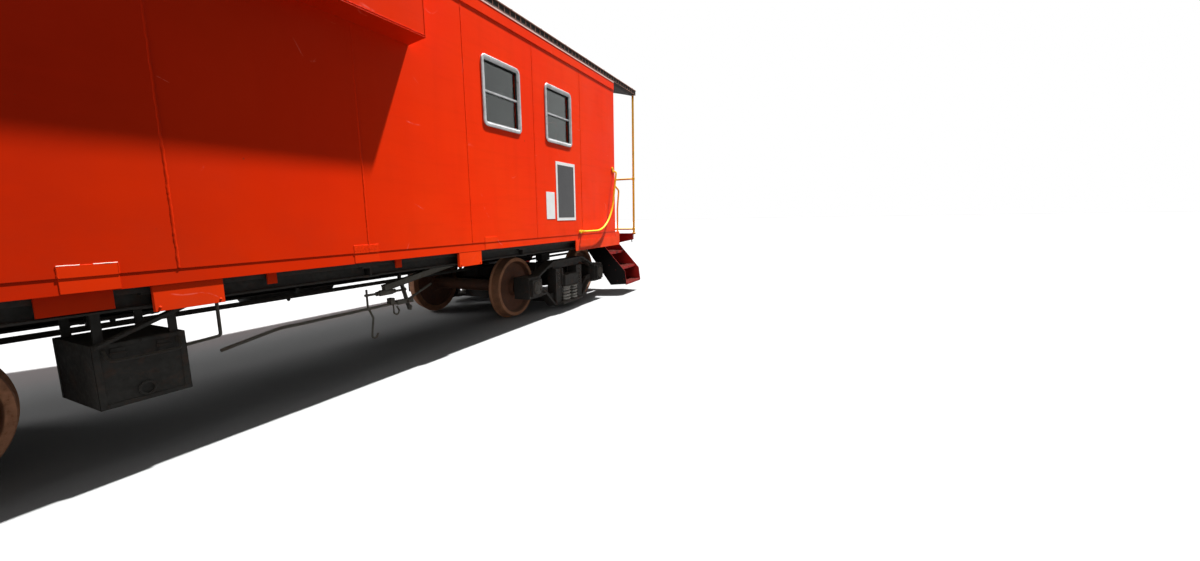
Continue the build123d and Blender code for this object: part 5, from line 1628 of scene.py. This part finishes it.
def seat_posts(work):
    """Pedestals of the seats, with their bolts"""
    post = [(0, 0), (0, 0.075), (0.012, 0.072), (0.030, 0.045), (0.400, 0.040), (0.435, 0.070)]
    post += [(0.444, 0.070), (0.444, 0)]
    for way, x, y in SEATS:
        lathe(work, post, (x, y, BAY_LOW), UP, 28)
        for bolt_x in around(x, 0.058):
            bolt(work, (bolt_x, y, BAY_LOW + 0.010), UP, 0.007)


# Rooms seen through the glass and the doors: mattress, stove parts, desk and locker fronts
BUNK_X, BUNK_Y, BUNK_TOP = (1.750, 3.700), (INNER_HALF - 0.640, INNER_HALF), up(1.520)
STOVE = Vector((1.050, 0.930, up(1.250)))
STOVE_FRONT = STOVE + Vector((0, -0.232, 0))
FLUE_RADIUS = 0.062
DESK_FRONT = -INNER_HALF + 0.588
DRAWERS = [(up(low), up(low + 0.190)) for low in (1.180, 1.390, 1.600)]
LOCKER_FACE, LOCKER_DOORS = 0.420, 4
LATCH = [(0, 0), (0, 0.018), (0.006, 0.016), (0.010, 0.008), (0.024, 0.007), (0.028, 0.014)]
LATCH += [(0.036, 0.012), (0.036, 0)]


def mattress(work):
    """A buttoned mattress on the bunk"""
    spots = [(a, b, 0.06) for a in (-0.72, -0.36, 0, 0.36, 0.72) for b in (-0.16, 0.16)]
    y_span = (BUNK_Y[0] + 0.02, BUNK_Y[1] - 0.01)
    z_span = (BUNK_TOP + 0.001, BUNK_TOP + 0.120)
    cushion(work, inset(BUNK_X, 0.03), y_span, z_span, [(spot, 0.06) for spot in spots], 0.03, 15)


def stove_parts(work):
    """Rims, flue collars, door, draught plate, hinges and latch of the stove"""
    for z, radius, tall in ((0.0, 0.246, 0.030), (0.330, 0.241, 0.022), (0.672, 0.250, 0.030)):
        band(work, 0, tall, 0.230, radius, STOVE + UP * z, UP, 48)
    collar = [(0, FLUE_RADIUS), (0, 0.100), (0.016, 0.096), (0.030, 0.070), (0.030, FLUE_RADIUS)]
    lathe(work, collar, STOVE + UP * 0.700, UP, 36, closed=True)
    for z in (1.10, 1.60):
        band(work, 0, 0.020, FLUE_RADIUS, 0.068, STOVE + UP * z, UP, 32)
    for outline, z, thick in (
        (rounded(0.230, 0.200, 0.03), 0.190, 0.022),
        (rounded(0.200, 0.090, 0.02), 0.070, 0.020),
    ):
        slab(work, outline, STOVE_FRONT + UP * z, (1, 0, 0), UP, thick, 0.003)
    for z in (0.130, 0.250):
        hinge = [STOVE_FRONT + Vector((-0.122, -0.016, spot)) for spot in around(z, 0.02)]
        tube(work, hinge, 0.008, 10)
    latch = [(0.085, -0.022, 0.190), (0.085, -0.050, 0.190), (0.060, -0.056, 0.185)]
    tube(work, [STOVE_FRONT + Vector(spot) for spot in latch], 0.007, 10)
    for x in (-0.05, 0, 0.05):
        bolt(work, STOVE_FRONT + Vector((x, -0.020, 0.070)), RIGHT, 0.008)


def desk_fronts(work):
    """Drawer fronts with their pulls, and a raised edge at the back of the desk"""
    near, far = DESK_FRONT + 0.012, DESK_FRONT + 0.036
    for z_span in DRAWERS:
        block(work, (1.320, 1.700), (DESK_FRONT, DESK_FRONT + 0.014), z_span, 0.003)
        z = sum(z_span) / 2
        pull = [(1.455, near, z), (1.455, far, z), (1.565, far, z), (1.565, near, z)]
        pipe(work, pull, 0.012, 0.005, 8)
    y_span = between(-INNER_HALF, 1, 0.001, 0.016)
    block(work, (1.300, 2.500), y_span, (up(1.866), up(1.930)), 0.003)


def locker_fronts(work):
    """Door panels, latches, hinges and kick boards on the aisle faces of the lockers"""
    low, high = inset((CUPOLA_REAR, CUPOLA_FRONT), 0.080)
    pitch = (high - low) / LOCKER_DOORS
    for side in (-1, 1):
        face = side * LOCKER_FACE
        y = face - side * 0.016
        for k in range(LOCKER_DOORS):
            door = inset((low + k * pitch, low + (k + 1) * pitch), 0.012)
            block(work, door, (face, y), (up(1.220), up(2.780)), 0.003)
            panel = between(face, -side, 0.015, 0.022)
            block(work, inset(door, 0.07), panel, (up(1.330), up(2.670)), 0.003)
            lathe(work, LATCH, (door[1] - 0.035, y, up(2.0)), (0, -side, 0), 18)
            for z in (1.38, 2.62):
                tube(work, [(door[0] + 0.006, y, up(end)) for end in around(z, 0.035)], 0.006, 8)
        block(work, (low, high), between(face, -side, 0, 0.010), (up(1.104), up(1.205)), 0.002)


for end, word in ((1, "front"), (-1, "rear")):
    piece(f"step_grips_{word}", "dark_red_paint", step_grips, end, finish=GRIP_DUST)
    piece(f"deck_grips_{word}", "dark_red_paint", deck_grips, end, finish=GRIP_DUST)
    piece(f"uncoupling_lever_{word}", "black_frame", uncoupling_lever, end)
    coupler, door = f"coupler_{word}", f"door_{word}"
    piece(f"coupler_details_{word}", "truck_casting", coupler_details, end, body=coupler)
    piece(f"door_trim_{word}", "aluminium_trim", door_trim, end, body=door)
    piece(f"end_wall_trim_{word}", "red_body", end_wall_trim, end)
made = piece("brake_wheel_round", "yellow_paint", brake_wheel, body="hand_brake_wheel")
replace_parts(made, "hand_brake_wheel")
piece("brake_housing_fittings", "black_frame", brake_fittings)
piece("tank_fittings", "black_frame", tank_fittings)
piece("box_fittings", "black_frame", box_fittings)
piece("smoke_jack_fittings", "black_frame", jack_fittings)
made = piece("seat_covers", "seat_cover", seat_covers, smooth=60)
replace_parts(made, "cupola_seats")
piece("seat_posts", "black_frame", seat_posts)
made = piece("mattress", "seat_cover", mattress, finish=TICKING, smooth=60)
piece("stove_parts", "cast_iron", stove_parts)
piece("desk_fronts", "grey_interior", desk_fronts)
piece("locker_fronts", "grey_interior", locker_fronts)


# Stage: a plain pale floor, a white backdrop for the camera, soft sun and fill
SKY_STRENGTH = 0.20
FLOOR_PALE = (0.29, 0.29, 0.29)
FLOOR_THROWN = (0.05, 0.05, 0.05)
FLOOR_REACH = 140

# Suns as direction towards them, energy and spread in degrees
SUNS = {
    "key": ((2.196, -1.0, 5.32), 12.0, 1.5),
    "fill": ((-2.0, 3.0, 2.2), 1.2, 20),
    "end_fill": ((-5.0, 0.0, 1.6), 2.0, 30),
}


def seen_rays(nodes, links):
    """One for rays from the camera, also by way of glass and gloss, and zero for light"""
    paths = nodes.new("ShaderNodeLightPath").outputs
    seen = paths["Is Camera Ray"]
    for kind in ("Is Glossy Ray", "Is Transmission Ray"):
        most = nodes.new("ShaderNodeMath")
        most.operation = "MAXIMUM"
        links.new(seen, most.inputs[0])
        links.new(paths[kind], most.inputs[1])
        seen = most.outputs[0]
    return seen


def make_world():
    """White to the camera, also through glass, and a softer light for the object"""
    world = bpy.data.worlds.new("studio")
    scene.world = world
    world.use_nodes = True
    nodes, links = world.node_tree.nodes, world.node_tree.links
    strength = nodes.new("ShaderNodeMapRange")
    links.new(seen_rays(nodes, links), strength.inputs["Value"])
    strength.inputs["To Min"].default_value = SKY_STRENGTH
    strength.inputs["To Max"].default_value = 1.0
    background = nodes["Background"]
    background.inputs["Color"].default_value = (1, 1, 1, 1)
    links.new(strength.outputs[0], background.inputs["Strength"])


def floor_finish():
    """Pale floor to the camera, and a darker one in the light that it throws up"""
    f = Finish("floor_finish", Roughness=0.9, Specular_IOR_Level=0.1)
    shown = f.mix(f.span(f.noise(0.8, 4), 0.3, 0.7), FLOOR_PALE, scaled(FLOOR_PALE, 1.03))
    return f.set(Base_Color=f.mix(seen_rays(f.nodes, f.links), FLOOR_THROWN, shown))


def make_floor():
    """A level floor at the flange bottoms"""
    mesh = bpy.data.meshes.new("floor_stage")
    r = FLOOR_REACH
    mesh.from_pydata([(-r, -r, 0), (r, -r, 0), (r, r, 0), (-r, r, 0)], [], [(0, 1, 2, 3)])
    mesh.materials.append(floor_finish())
    floor = bpy.data.objects.new("floor_stage", mesh)
    scene.collection.objects.link(floor)
    floor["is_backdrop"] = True


def make_sun(name, towards, energy, spread):
    """A sun lamp, its light coming from a direction"""
    lamp = bpy.data.lights.new(name, "SUN")
    lamp.energy = energy
    lamp.angle = math.radians(spread)
    sun = bpy.data.objects.new(name, lamp)
    sun.rotation_mode = "QUATERNION"
    sun.rotation_quaternion = Vector(towards).to_track_quat("Z", "Y")
    scene.collection.objects.link(sun)


make_world()
make_floor()
for name, values in SUNS.items():
    make_sun(name, *values)

scene.view_settings.view_transform = "Standard"
boxes = {"cad": cad_box, "visual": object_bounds()}
{name: [list(corner) for corner in pair] for name, pair in boxes.items()}
